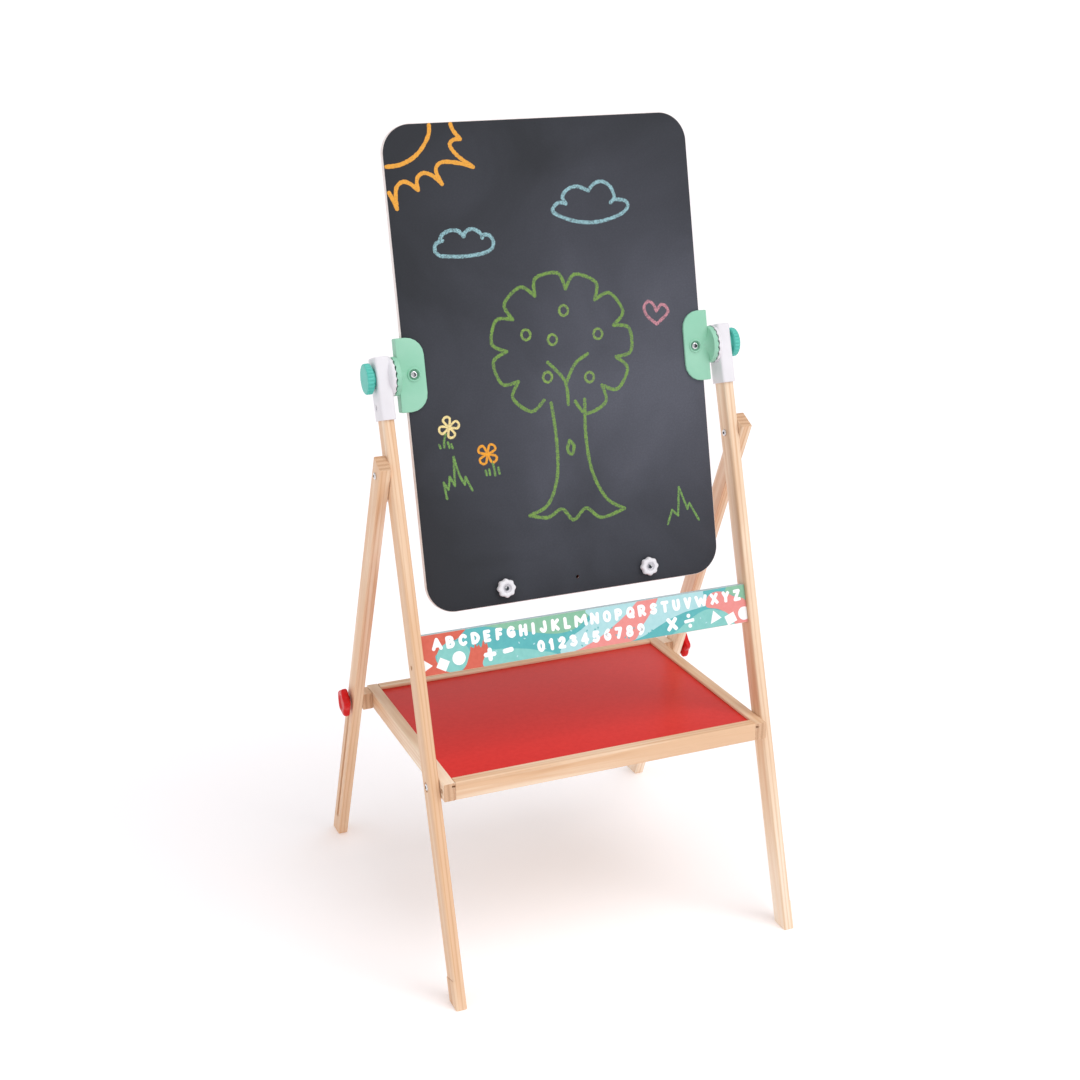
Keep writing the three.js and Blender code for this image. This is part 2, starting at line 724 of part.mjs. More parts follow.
function traySpacer() {
  const width = spacerOuterX - spacerInnerX;
  const back = spacerFrontY + tray.spacerLength;
  const bar = barY(width, tray.spacerHeight, tray.railEdgeRadius, spacerFrontY, back);
  const holeEnd = spacerOuterX - insert.length - 2 * GAP;
  const hole = rodX(insert.radius + GAP, holeEnd, spacerOuterX + OVERCUT);
  return cut(bar.translate((spacerInnerX + spacerOuterX) / 2, 0, 0), [
    hole.translate(0, slotBoltY, 0),
  ]);
}

function slotInsert() {
  const end = spacerOuterX - GAP;
  const start = end - insert.length;
  const bore = rodX(bolt.radius + GAP, start - OVERCUT, end + OVERCUT);
  return cut(rodX(insert.radius, start, end), [bore]);
}

// ---------------------------------------------------------------- slot bolts

const washerInnerX = legOuterX + GAP;
const washerOuterX = washerInnerX + washer.thickness;
const slotKnobSeat = washerOuterX + GAP;
const slotBoltEnd = slotKnobSeat + slotKnob.collarHeight + slotKnob.thickness - knobCap;

function slotBoltBody() {
  return rodX(bolt.radius, spacerOuterX + 2 * GAP, slotBoltEnd);
}

function slotWasher() {
  const bore = rodX(bolt.radius + GAP, washerInnerX - OVERCUT, washerOuterX + OVERCUT);
  return cut(rodX(washer.radius, washerInnerX, washerOuterX), [bore]);
}

function slotKnobBody() {
  const bore = rodX(bolt.radius + GAP, slotKnobSeat - OVERCUT, slotBoltEnd + GAP);
  return cut(handKnob(slotKnob, slotKnobSeat), [bore]);
}

// ---------------------------------------------------------------- the assembly

const finishes = {
  pine: { color: colours.pine, roughness: 0.65, metalness: 0 },
  slate: { color: colours.slate, roughness: 0.85, metalness: 0 },
  white: { color: colours.white, roughness: 0.4, metalness: 0 },
  mint: { color: colours.mint, roughness: 0.4, metalness: 0 },
  teal: { color: colours.teal, roughness: 0.4, metalness: 0 },
  red: { color: colours.red, roughness: 0.35, metalness: 0 },
  trayRed: { color: colours.trayRed, roughness: 0.5, metalness: 0 },
  print: { color: colours.print, roughness: 0.5, metalness: 0 },
  steel: { color: colours.steel, roughness: 0.25, metalness: 1 },
  zinc: { color: colours.zinc, roughness: 0.35, metalness: 1 },
};

function piece(name, geometry, finish) {
  const mesh = new THREE.Mesh(geometry, new THREE.MeshStandardMaterial(finishes[finish]));
  mesh.name = name;
  return mesh;
}

function at(mesh, x, y, z) {
  mesh.position.set(x, y, z);
  return mesh;
}

// A group at a place, turned about X, that holds what leans with it.
function leaning(place, angle, children) {
  const group = new THREE.Group();
  group.position.copy(place);
  group.rotation.x = angle;
  group.add(...children);
  return group;
}

const footMiddle = new THREE.Vector3(0, footMiddleY, 0);

function frontPieces(side) {
  const legPivotZ = alongPost(legPivotHeight);
  const bracketScrew = sunkScrew(bracketOuterX, bracket.screwLength);
  const legBolt = socketBolt(legOuterX + GAP, postInnerX + sleeveFit.boltEnd);
  const legNut = sleeveNut(postInnerX - GAP, postInnerX + sleeveFit.legBarrelEnd);
  const trayBoltSeat = postOuterX - post.headRecessDepth + GAP;
  const trayBolt = socketBolt(trayBoltSeat, railInnerX + sleeveFit.boltEnd);
  const trayBarrelEnd = railInnerX + sleeveFit.trayBarrelEnd;
  const trayNut = sleeveNut(railInnerX - GAP, trayBarrelEnd, trayCapRadius);
  return leaning(footMiddle, -post.lean, [
    piece(`front_post_${side}`, frontPost(), "pine"),
    piece(`post_bracket_${side}`, postBracket(), "white"),
    at(piece(`bracket_screw_${side}`, bracketScrew, "steel"), 0, bracket.screwY, bracketScrewZ),
    at(piece(`strip_screw_${side}`, sunkScrew(postOuterX), "steel"), 0, stripY, stripScrewZ),
    at(piece(`strip_dowel_${side}`, stripDowel(), "pine"), 0, stripY, stripDowelZ),
    at(piece(`leg_pivot_bolt_${side}`, legBolt, "steel"), 0, 0, legPivotZ),
    at(piece(`leg_pivot_nut_${side}`, legNut, "steel"), 0, 0, legPivotZ),
    at(piece(`tray_pivot_bolt_${side}`, trayBolt, "steel"), 0, 0, trayPivotZ),
    at(piece(`tray_pivot_nut_${side}`, trayNut, "steel"), 0, 0, trayPivotZ),
  ]);
}

function boardPieces(side) {
  return leaning(tiltAxis, -board.tilt, [
    piece(`board_clamp_${side}`, boardClamp(), "mint"),
    at(piece(`clamp_screw_${side}`, clampScrew(), "steel"), clampScrewX, 0, 0),
    at(piece(`clamp_sleeve_${side}`, clampSleeve(), "steel"), clampScrewX, 0, 0),
    piece(`tilt_bolt_${side}`, tiltBoltBody(), "steel"),
    piece(`tilt_knob_${side}`, tiltKnobBody(), "teal"),
    at(piece(`paper_clamp_stud_${side}`, clampStud(), "steel"), studX, 0, paperClampZ),
    at(piece(`paper_clamp_knob_${side}`, clampKnobBody(), "white"), studX, 0, paperClampZ),
  ]);
}

function rearPieces(side) {
  return leaning(legPivot, legLean, [
    piece(`rear_leg_${side}`, rearLegBody(), "pine"),
    at(piece(`slot_bolt_${side}`, slotBoltBody(), "steel"), 0, 0, -openDistance),
    at(piece(`slot_washer_${side}`, slotWasher(), "steel"), 0, 0, -openDistance),
    at(piece(`slot_knob_${side}`, slotKnobBody(), "red"), 0, 0, -openDistance),
  ]);
}

function trayPieces(side) {
  const frontY = railFrontY + tray.railWidth / 2;
  const backY = railBackY - tray.railWidth / 2;
  return leaning(trayPivot, 0, [
    piece(`tray_rail_${side}`, sideRail(), "pine"),
    piece(`tray_spacer_${side}`, traySpacer(), "pine"),
    at(piece(`slot_insert_${side}`, slotInsert(), "zinc"), 0, slotBoltY, 0),
    at(piece(`rail_screw_front_${side}`, sunkScrew(railOuterX), "steel"), 0, frontY, 0),
    at(piece(`rail_screw_rear_${side}`, sunkScrew(railOuterX), "steel"), 0, backY, 0),
  ]);
}

function halfOf(side, direction) {
  const half = new THREE.Group();
  half.scale.x = direction;
  half.add(frontPieces(side), boardPieces(side), rearPieces(side), trayPieces(side));
  return half;
}

function middlePieces() {
  const coreHalf = board.coreThickness / 2;
  const rearCrossRail = at(piece("tray_rail_rear", crossRail(), "pine"), 0, railBackY, 0);
  rearCrossRail.rotation.z = Math.PI;
  return [
    leaning(footMiddle, -post.lean, [
      at(piece("alphabet_strip", alphabetStrip(), "print"), 0, stripY, stripZ),
    ]),
    leaning(tiltAxis, -board.tilt, [
      piece("board_core", boardLayer(0, -coreHalf, coreHalf), "white"),
      piece("chalk_face", boardLayer(board.faceInset, -boardHalf, -coreHalf - GAP), "slate"),
      piece("white_face", boardLayer(board.faceInset, coreHalf + GAP, boardHalf), "white"),
      at(piece("paper_clamp_bar", paperClampBar(), "white"), 0, 0, paperClampZ),
    ]),
    leaning(trayPivot, 0, [
      piece("tray_panel", trayPanel(), "trayRed"),
      at(piece("tray_rail_front", crossRail(), "pine"), 0, railFrontY, 0),
      rearCrossRail,
    ]),
  ];
}

const easel = new THREE.Group();
easel.position.y = -legFootBackY / 2;
easel.add(halfOf("left", -1), halfOf("right", 1), ...middlePieces());

export default easel;
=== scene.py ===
"""A children's folding easel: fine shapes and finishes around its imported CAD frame.

Lengths in this file are millimetres in a place's own axes unless a name says otherwise.
A place is a frame of axes that leans with what it holds: its Z runs up along the timber or the board.
"""

import json
import math
import random

import bmesh
import bpy
from mathutils import Matrix, Vector


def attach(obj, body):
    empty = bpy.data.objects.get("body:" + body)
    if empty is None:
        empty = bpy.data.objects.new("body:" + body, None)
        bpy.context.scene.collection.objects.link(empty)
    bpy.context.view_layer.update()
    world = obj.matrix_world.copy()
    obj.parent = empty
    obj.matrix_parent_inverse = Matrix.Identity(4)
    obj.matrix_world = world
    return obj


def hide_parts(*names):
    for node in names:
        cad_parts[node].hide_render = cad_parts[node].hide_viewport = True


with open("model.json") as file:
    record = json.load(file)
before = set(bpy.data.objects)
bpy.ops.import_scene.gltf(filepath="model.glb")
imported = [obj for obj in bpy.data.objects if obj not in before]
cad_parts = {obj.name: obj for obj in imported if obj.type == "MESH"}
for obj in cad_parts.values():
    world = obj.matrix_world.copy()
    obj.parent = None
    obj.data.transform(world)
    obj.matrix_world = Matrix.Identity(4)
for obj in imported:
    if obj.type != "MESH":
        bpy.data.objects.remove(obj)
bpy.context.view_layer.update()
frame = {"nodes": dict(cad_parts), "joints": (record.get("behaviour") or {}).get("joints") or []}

MM = 0.001
SIDES = {"left": -1, "right": 1}
NODES = frame["nodes"]
JOINTS = {joint["name"]: joint for joint in frame["joints"]}
SMOOTH_ANGLE = math.radians(34)
CORNER_STEPS = 5  # segments round a small corner
BOARD_CORNER_STEPS = 24
ROUND = 40  # segments round a turned piece
HOLE_ROUND = 24  # segments round a small hole
PAST = 1.0  # how far a cutting shape reaches past the face it cuts
CRISP = 0.01  # the edge radius of a cutting shape
CLEAR = 0.3  # play between a fitting and what it holds


# ---- places

def middle_of(joint):
    """A joint's place, moved sideways to the middle of the easel."""
    place = Vector(JOINTS[joint]["pos_m"])
    return Vector((0, place.y, place.z))


def leaning(origin, along):
    across = Vector((1, 0, 0))
    up = along.normalized()
    axes = Matrix((across, up.cross(across), up)).transposed()
    return Matrix.Translation(origin) @ axes.to_4x4()


TILT_AXIS = middle_of("board_tilt")
TRAY_PIVOT = middle_of("tray_fold")
LEG_PIVOT = middle_of("rear_leg_fold_right")
SLOT_BOLT = middle_of("slot_knob_turn_right")
POST = leaning(TILT_AXIS, TILT_AXIS - TRAY_PIVOT)
LEG = leaning(LEG_PIVOT, LEG_PIVOT - SLOT_BOLT)
BOARD = leaning(TILT_AXIS, Vector((1, 0, 0)).cross(Vector(JOINTS["paper_clamp_slide"]["axis"])))
TRAY = Matrix.Translation(TRAY_PIVOT)


def extent(node, place):
    """Lowest and highest corner of a CAD node along a place's axes, in millimetres."""
    inverse = place.inverted()
    points = [inverse @ vertex.co for vertex in NODES[node].data.vertices]
    return Vector(map(min, *points)) / MM, Vector(map(max, *points)) / MM


def centre(node, place):
    low, high = extent(node, place)
    return (low + high) / 2


def spot_on(axis, node, place):
    """Where a node's middle lies across the axis."""
    x, y, z = centre(node, place)
    return (y, z) if axis == "x" else (z, x)


def at_floor(place):
    """The place's z at which a point with a given y lies on the floor."""
    drop = place.translation.z / MM
    return lambda y: -(drop + y * place[2][1]) / place[2][2]


# ---- solids

ORDER = {"z": (0, 1, 2), "x": (2, 0, 1), "y": (1, 2, 0)}  # where a, b and the length land for each axis


def laid(point, axis):
    """A point (a, b, length) turned so that its length lies on the axis."""
    return tuple(point[i] for i in ORDER[axis])


def mesh_from(made):
    mesh = bpy.data.meshes.new("shape")
    made.to_mesh(mesh)
    made.free()
    return mesh


def solid(rings):
    """A closed mesh through rings of equal count, capped at both ends."""
    made = bmesh.new()
    rows = [[made.verts.new(point) for point in ring] for ring in rings]
    for lower, upper in zip(rows, rows[1:]):
        for i, vertex in enumerate(lower):
            j = (i + 1) % len(lower)
            made.faces.new((vertex, lower[j], upper[j], upper[i]))
    made.faces.new(rows[0])
    made.faces.new(rows[-1])
    bmesh.ops.recalc_face_normals(made, faces=made.faces)
    return mesh_from(made)


def rounded(x, y, radius, inset=0.0, left_radius=None, steps=CORNER_STEPS):
    """A rectangle between two x and two y with rounded corners, as a list of points."""
    left_radius = radius if left_radius is None else left_radius
    x0, x1, y0, y1 = x[0] + inset, x[1] - inset, y[0] + inset, y[1] - inset
    right = [(x1, y0, radius, -90), (x1, y1, radius, 0)]
    left = [(x0, y1, left_radius, 90), (x0, y0, left_radius, 180)]
    points = []
    for cx, cy, corner, start in right + left:
        r = max(corner - inset, 0.05)
        mx = cx - r if cx == x1 else cx + r
        my = cy - r if cy == y1 else cy + r
        for step in range(steps + 1):
            turn = math.radians(start + 90 * step / steps)
            points.append((mx + r * math.cos(turn), my + r * math.sin(turn)))
    return points


def round_edge(radius, steps=3):
    """(inset, height) pairs that round an outline's edge, from its flat end to its side."""
    turns = [math.pi / 2 * step / steps for step in range(steps + 1)]
    return [(radius * (1 - math.sin(turn)), radius * (1 - math.cos(turn))) for turn in turns]


def bar(a, b, length, radius, edge=0.6, axis="z", steps=CORNER_STEPS):
    """A bar whose rounded section lies between two a and two b, its length between two heights along
    the axis and its end edges rounded. A height may depend on b."""
    low, high = [end if callable(end) else lambda b, end=end: end for end in length]
    profile = round_edge(edge)
    rings = []
    for inset, rise in profile:
        rings.append([(p, q, low(q) + rise) for p, q in rounded(a, b, radius, inset, steps=steps)])
    for inset, rise in reversed(profile):
        rings.append([(p, q, high(q) - rise) for p, q in rounded(a, b, radius, inset, steps=steps)])
    return solid([[laid(point, axis) for point in ring] for ring in rings])


def box(x, y, z):
    return bar(x, y, z, 0.05, CRISP)


def turned(profile, axis="x", middle=(0, 0), segments=ROUND, count=0, sharp=False):
    """A turned solid. Each profile row is (position, radius, tooth, lobe): the tooth moves the ring
    along the axis and the lobe draws it in, both count times round, with sharp valleys or soft ones."""
    rings = []
    for row in profile:
        position, radius, tooth, lobe = (*row, 0, 0)[:4]
        ring = []
        for i in range(segments):
            turn = 2 * math.pi * i / segments
            swing = 2 * abs(math.cos(count * turn / 2)) - 1 if sharp else math.cos(count * turn)
            reach = radius - lobe * (1 - swing) / 2
            a = middle[0] + reach * math.cos(turn)
            b = middle[1] + reach * math.sin(turn)
            ring.append(laid((a, b, position + tooth * swing), axis))
        rings.append(ring)
    return solid(rings)


def rows_from(face, way, rows):
    """Profile rows whose positions are given as distances from a face, in one way along the axis."""
    return [(face + way * distance, *rest) for distance, *rest in rows]


def rod(axis, middle, radius, low, high, segments=ROUND):
    return turned([(low, radius), (high, radius)], axis, middle, segments)


def through(axis, middle, radius, low, high, segments=ROUND):
    """A rod that cuts a hole right through what lies between two faces."""
    return rod(axis, middle, radius, low - PAST, high + PAST, segments)


def placed(name, data):
    """A new object in the scene."""
    made = bpy.data.objects.new(name, data)
    bpy.context.scene.collection.objects.link(made)
    return made


def combine(mesh, cuts=(), joins=()):
    """The mesh with others joined to it, and then others cut from it."""
    base = placed("base", mesh)
    tools = []
    for operation, shapes in (("UNION", joins), ("DIFFERENCE", cuts)):
        for shape in shapes:
            tools.append(placed("tool", shape))
            step = base.modifiers.new(operation, "BOOLEAN")
            step.operation = operation
            step.solver = "MANIFOLD"
            step.object = tools[-1]
    graph = bpy.context.evaluated_depsgraph_get()
    result = bpy.data.meshes.new_from_object(base.evaluated_get(graph))
    result.materials.clear()
    for thing in [base, *tools]:
        bpy.data.objects.remove(thing)
    return result


def merged(meshes):
    """Several meshes as one, without joining their surfaces."""
    made = bmesh.new()
    for mesh in meshes:
        made.from_mesh(mesh)
    return mesh_from(made)


def mirrored(mesh, direction=1):
    """A copy in metres, on the right or the left."""
    copy = mesh.copy()
    copy.transform(Matrix.Diagonal((direction * MM, MM, MM, 1)))
    if direction < 0:
        copy.flip_normals()
    return copy


# ---- finishes

class Finish:
    """A node material on one Principled shader, with short ways to add textures to it."""

    def __init__(self, name, roughness=0.5, metallic=0.0):
        self.material = bpy.data.materials.new(name)
        self.material.use_nodes = True
        self.tree = self.material.node_tree
        self.shader = self.tree.nodes["Principled BSDF"]
        self.space = self.add("TexCoord").outputs["Object"]
        self.set(Roughness=roughness, Metallic=metallic)

    def feed(self, target, value):
        """Gives an input another node's output, or a plain value."""
        if isinstance(value, bpy.types.NodeSocket):
            self.tree.links.new(value, target)
        else:
            target.default_value = value

    def set(self, node=None, **inputs):
        """Feeds inputs by name, the shader's if no node is given."""
        for name, value in inputs.items():
            self.feed((node or self.shader).inputs[name.replace("_", " ")], value)

    def add(self, kind, **inputs):
        node = self.tree.nodes.new(f"ShaderNode{kind}")
        self.set(node, **inputs)
        return node

    def attribute(self, name):
        node = self.add("Attribute")
        node.attribute_name = name
        return node

    def scaled(self, source, scale):
        return self.add("Mapping", Vector=source, Scale=scale).outputs["Vector"]

    def noise(self, scale, detail=2.0, distortion=0.0, space=None):
        node = self.add("TexNoise", Scale=scale, Detail=detail, Distortion=distortion)
        self.set(node, Vector=space or self.space)
        return node.outputs["Fac"]

    def wave(self, scale, distortion, detail, kind, space):
        node = self.add("TexWave", Scale=scale, Distortion=distortion, Detail=detail, Vector=space)
        node.wave_type = kind
        return node.outputs["Fac"]

    def ramp(self, source, *stops):
        node = self.add("ValToRGB", Fac=source)
        ramp = node.color_ramp
        while len(ramp.elements) < len(stops):
            ramp.elements.new(1.0)
        for element, (position, colour) in zip(ramp.elements, stops):
            element.position = position
            element.color = (*colour, 1.0)
        return node.outputs["Color"]

    def range(self, source, low, high):
        return self.add("MapRange", Value=source, To_Min=low, To_Max=high).outputs["Result"]

    def mix(self, share, first, second, blend="MIX"):
        node = self.add("Mix")
        node.data_type = "RGBA"
        node.blend_type = blend
        for value, name in ((share, "Factor"), (first, 6), (second, 7)):
            self.feed(node.inputs[name], (*value, 1.0) if isinstance(value, tuple) else value)
        return node.outputs[2]

    def math(self, operation, first, second):
        node = self.add("Math")
        node.operation = operation
        self.feed(node.inputs[0], first)
        self.feed(node.inputs[1], second)
        return node.outputs["Value"]

    def sum(self, first, second):
        return self.math("ADD", first, second)

    def times(self, first, second):
        return self.math("MULTIPLY", first, second)

    def bump(self, source, strength, distance=0.0003):
        node = self.add("Bump", Strength=strength, Distance=distance, Height=source)
        self.set(Normal=node.outputs["Normal"])


def linear(value):
    """One channel of a colour as it looks on screen, from 0 to 255, in linear light."""
    share = value / 255
    return ((share + 0.055) / 1.055) ** 2.4 if value > 10 else share / 12.92


def screen(red, green, blue):
    return tuple(linear(value) for value in (red, green, blue))


WHITE = (1, 1, 1)


def pine_finish(name, *tones):
    """Straight-grained pine. The piece's grain attribute runs along the timber on z."""
    finish = Finish(name, 0.5)
    grain = finish.attribute("grain").outputs["Vector"]
    rings = finish.noise(70, 3, 0.8, finish.scaled(grain, (1, 1, 0.035)))
    lines = finish.wave(55, 5.5, 3, "BANDS", finish.scaled(grain, (1, 0.6, 0.05)))
    fibre = finish.noise(900, 2, 0, finish.scaled(grain, (1, 1, 0.02)))
    drift = finish.noise(7, 1, 0, finish.scaled(grain, (1, 1, 0.3)))
    tone = finish.sum(finish.times(rings, 0.7), finish.times(drift, 0.62))
    tone = finish.sum(tone, finish.attribute("tone").outputs["Fac"])
    pale, tan, dark = [screen(*colour) for colour in tones]
    broad = finish.ramp(tone, (0.42, pale), (0.64, tan), (0.84, dark))
    streaks = finish.ramp(lines, (0.0, WHITE), (0.72, (0.97, 0.94, 0.9)), (0.95, (0.86, 0.76, 0.66)))
    fine = finish.ramp(fibre, (0.3, (0.94, 0.91, 0.88)), (0.6, WHITE))
    streaked = finish.mix(0.75, broad, streaks, "MULTIPLY")
    finish.set(Base_Color=finish.mix(0.6, streaked, fine, "MULTIPLY"))
    finish.set(Roughness=finish.range(rings, 0.42, 0.62), Coat_Weight=0.15, Coat_Roughness=0.35)
    finish.bump(finish.sum(fibre, lines), 0.25)
    return finish.material


def end_grain_finish():
    finish = Finish("pine_end", 0.7)
    grain = finish.attribute("grain").outputs["Vector"]
    arcs = finish.wave(42, 1.6, 2, "RINGS", finish.scaled(grain, (1, 1, 0)))
    pores = finish.noise(1600, 2, 0, grain)
    early, late, dark = screen(222, 184, 150), screen(215, 175, 141), screen(203, 160, 127)
    tone = finish.ramp(arcs, (0.1, early), (0.6, late), (0.95, dark))
    speck = finish.ramp(pores, (0.35, (0.8, 0.74, 0.68)), (0.6, WHITE))
    finish.set(Base_Color=finish.mix(0.7, tone, speck, "MULTIPLY"))
    finish.bump(pores, 0.35)
    return finish.material


def moulded_finish(name, colour, lighter, roughness=0.4, grain=0.12, shine=0.45):
    """Moulded plastic: a slow drift of colour, a fine spark-eroded grain and uneven gloss."""
    finish = Finish(name)
    gloss = finish.range(finish.noise(160, 3), roughness - 0.07, roughness + 0.1)
    drift = finish.ramp(finish.noise(26, 3, 0.4), (0.3, screen(*colour)), (0.75, screen(*lighter)))
    finish.set(Base_Color=drift, Roughness=gloss, Specular_IOR_Level=shine)
    finish.bump(finish.noise(2600, 2), grain, 0.00008)
    return finish.material


def slate_colour(finish):
    """The chalk coating's colour, paler in rubbed cloudy patches and in a painted sheen round a spot right of
    the middle, and its dust.
    """
    cloud = finish.noise(5.5, 4, 0.6)
    dust = finish.noise(420, 3)
    # painted sheen: the coating is palest at a spot right of the board's middle and darkens with distance
    # from it
    away = finish.add("VectorMath")
    away.operation = "DISTANCE"
    away.inputs[1].default_value = (0.14, 0, -0.03)
    finish.feed(away.inputs[0], finish.space)
    wipes_and_sheen = finish.sum(finish.times(cloud, 0.4), finish.times(away.outputs["Value"], -1.0))
    # the palest colour comes from rubbed patches and from the painted sheen
    dark, middle, wipe_and_sheen_pale = screen(48, 50, 55), screen(66, 68, 76), screen(86, 88, 98)
    base = finish.ramp(finish.sum(wipes_and_sheen, 0.4), (0.19, dark), (0.39, middle), (0.57, wipe_and_sheen_pale))
    veil = finish.ramp(dust, (0.4, (0.93, 0.93, 0.94)), (0.72, (1.12, 1.12, 1.12)))
    return finish.mix(0.8, base, veil, "MULTIPLY"), dust


def slate_finish():
    """Matt chalk coating with a little dust from wiping in it, and a painted sheen."""
    finish = Finish("chalkboard")
    colour, dust = slate_colour(finish)
    finish.set(Base_Color=colour, Roughness=finish.range(dust, 0.74, 0.92), Specular_IOR_Level=0.3)
    finish.bump(dust, 0.2, 0.0001)
    return finish.material


def chalk_finish(name, colour, body):
    """Chalk that catches on the coating: it thins out and breaks up towards the stroke's edges."""
    finish = Finish(name, 0.95)
    slate, _ = slate_colour(finish)
    powder = finish.noise(620, 3)
    streak = finish.noise(170, 2)
    edge = finish.attribute("edge").outputs["Fac"]
    thin = finish.times(finish.math("POWER", edge, 3.0), 0.12)
    cover = finish.math("SUBTRACT", finish.sum(powder, finish.times(streak, 0.35)), thin)
    share = finish.ramp(cover, (0.52, (0, 0, 0)), (0.74, WHITE))
    share = finish.sum(finish.times(share, 0.95 - body), body)
    finish.set(Base_Color=finish.mix(share, slate, colour))
    finish.bump(powder, 0.5, 0.0002)
    return finish.material


def paint_finish(name, colour, lighter, roughness=0.45, shine=0.5):
    """Printed ink or a sprayed coat on board: faint mottling under an even film."""
    finish = Finish(name)
    mottled = finish.ramp(finish.noise(140, 4, 0.3), (0.3, screen(*colour)), (0.7, screen(*lighter)))
    gloss = finish.range(finish.noise(500, 3), roughness - 0.06, roughness + 0.08)
    finish.set(Base_Color=mottled, Roughness=gloss, Specular_IOR_Level=shine)
    finish.bump(finish.noise(1300, 3), 0.08, 0.00008)
    return finish.material


def metal_finish(name, colour, roughness):
    finish = Finish(name, metallic=1.0)
    darker = tuple(v * 0.86 for v in colour)
    finish.set(Base_Color=finish.ramp(finish.noise(300, 2), (0.3, colour), (0.7, darker)))
    finish.set(Roughness=finish.range(finish.noise(900, 3), roughness - 0.05, roughness + 0.12))
    return finish.material


PINE = pine_finish("pine", (255, 243, 229), (248, 225, 200), (230, 190, 153))
PINE_END = end_grain_finish()
WHITE_PLASTIC = moulded_finish("white_plastic", (228, 225, 230), (234, 232, 237), 0.42)
EDGE = paint_finish("board_edge", (238, 226, 222), (246, 238, 235), 0.5)
SLATE = slate_finish()
WHITEBOARD = paint_finish("whiteboard", (242, 243, 245), (245, 246, 248), 0.18)
MINT = moulded_finish("mint_plastic", (144, 204, 176), (156, 210, 184), 0.45)
TEAL = moulded_finish("teal_plastic", (74, 188, 174), (96, 200, 186), 0.4)
RED = moulded_finish("red_plastic", (206, 6, 8), (216, 12, 12), 0.3, 0.05, 0.28)
RED_PANEL = paint_finish("red_panel", (212, 34, 28), (218, 42, 35), 0.3, 0.25)
PANEL_BACK = paint_finish("panel_back", (226, 208, 188), (233, 217, 199), 0.6)
STEEL = metal_finish("bright_steel", (0.8, 0.81, 0.83), 0.2)
CORE = paint_finish("board_core_bare", (104, 52, 40), (120, 66, 50), 0.85, 0.2)
# dark steel for the faces inside hexagon sockets: painted shade in the recess
SOCKET_SHADE = metal_finish("painted_socket_shade", (0.1, 0.11, 0.13), 0.45)
INSERT = metal_finish("insert_metal", (0.66, 0.53, 0.28), 0.35)
TIMBER = [PINE, PINE_END]


# ---- pieces

def show(name, mesh, place, body, materials, replaces=(), smooth=True):
    """A finished piece, its mesh in metres in the place's axes."""
    mesh.name = name
    indices = [polygon.material_index for polygon in mesh.polygons]
    mesh.materials.clear()
    for material in materials:
        mesh.materials.append(material)
    for polygon, index in zip(mesh.polygons, indices):
        polygon.material_index = min(index, len(materials) - 1)
    if smooth:
        mesh.shade_smooth()
        mesh.set_sharp_from_angle(angle=SMOOTH_ANGLE)
    piece = placed(name, mesh)
    piece.matrix_world = place
    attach(piece, body)
    if replaces:
        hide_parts(*replaces)


def instead(node, mesh, place, body, materials):
    """A piece in place of the CAD node with its name."""
    show(f"{node}_fine", mesh, place, body, materials, [node])


def both(name, mesh, place, body, materials):
    """The same piece on both sides, each in place of its CAD node."""
    for side, direction in SIDES.items():
        rides = body.format(side=side)
        instead(f"{name}_{side}", mirrored(mesh, direction), place, rides, materials)


ACROSS_GRAIN = 0.85


def grained(mesh, axis, seed, tone=0.0):
    """Stores where each point lies in its tree and how dark the piece is, and marks the faces across
    the grain."""
    order = [ORDER[axis].index(i) for i in range(3)]
    shift = Vector((0.31 * seed, 0.17 * seed, 0.73 * seed))
    grain = mesh.attributes.new("grain", "FLOAT_VECTOR", "POINT")
    for vertex, value in zip(mesh.vertices, grain.data):
        value.vector = Vector(vertex.co[i] for i in order) + shift
    depth = mesh.attributes.new("tone", "FLOAT", "POINT")
    for value in depth.data:
        value.value = tone
    for polygon in mesh.polygons:
        polygon.material_index = int(abs(polygon.normal[order[2]]) > ACROSS_GRAIN)
    return mesh


def timber(node, mesh, axis, place, body, seed, tone=0.0, direction=1):
    wood = grained(mirrored(mesh, direction), axis, seed, tone)
    instead(node, wood, place, body, TIMBER)


def timber_pair(name, mesh, axis, place, body, seed, tones=(0.0, 0.0)):
    """The same timber on both sides, cut from two places in the tree."""
    for i, (side, direction) in enumerate(SIDES.items()):
        rides = body.format(side=side)
        timber(f"{name}_{side}", mesh, axis, place, rides, seed + i, tones[i], direction)


def refinish(name, material):
    """Gives a pair of CAD nodes a material as they are."""
    for side in SIDES:
        mesh = NODES[f"{name}_{side}"].data
        mesh.materials.clear()
        mesh.materials.append(material)


# ---- timber frame

POST_RADIUS = 3.0
LEG_RADIUS = 1.4
RAIL_RADIUS = 1.6
END_EDGE = 0.7
BOSS = 1.0
FOOT_BOSS = 37.0  # height of the boss at a post's foot
LEG_BOSS = 36.0  # how far the leg's boss reaches below its pivot
SLOT_HALF = 3.5
SCREW_HOLE = 3.5
SCREW_HEAD = 1.0
BOLT_HEAD = 2.3
HEAD_RECESS = 7.0
BOLT_HOLE = 3.3
SLEEVE_HOLE = 4.5
INSERT_HOLE = 5.3
INSERT_DEPTH = 13.3
GROOVE = 5.0  # depth of the rails' groove for the panel


def screw_hole(node, place, surface):
    seat = extent(node, place)[1].x - SCREW_HEAD
    return rod("x", spot_on("x", node, place), SCREW_HOLE, seat, surface + PAST, HOLE_ROUND)


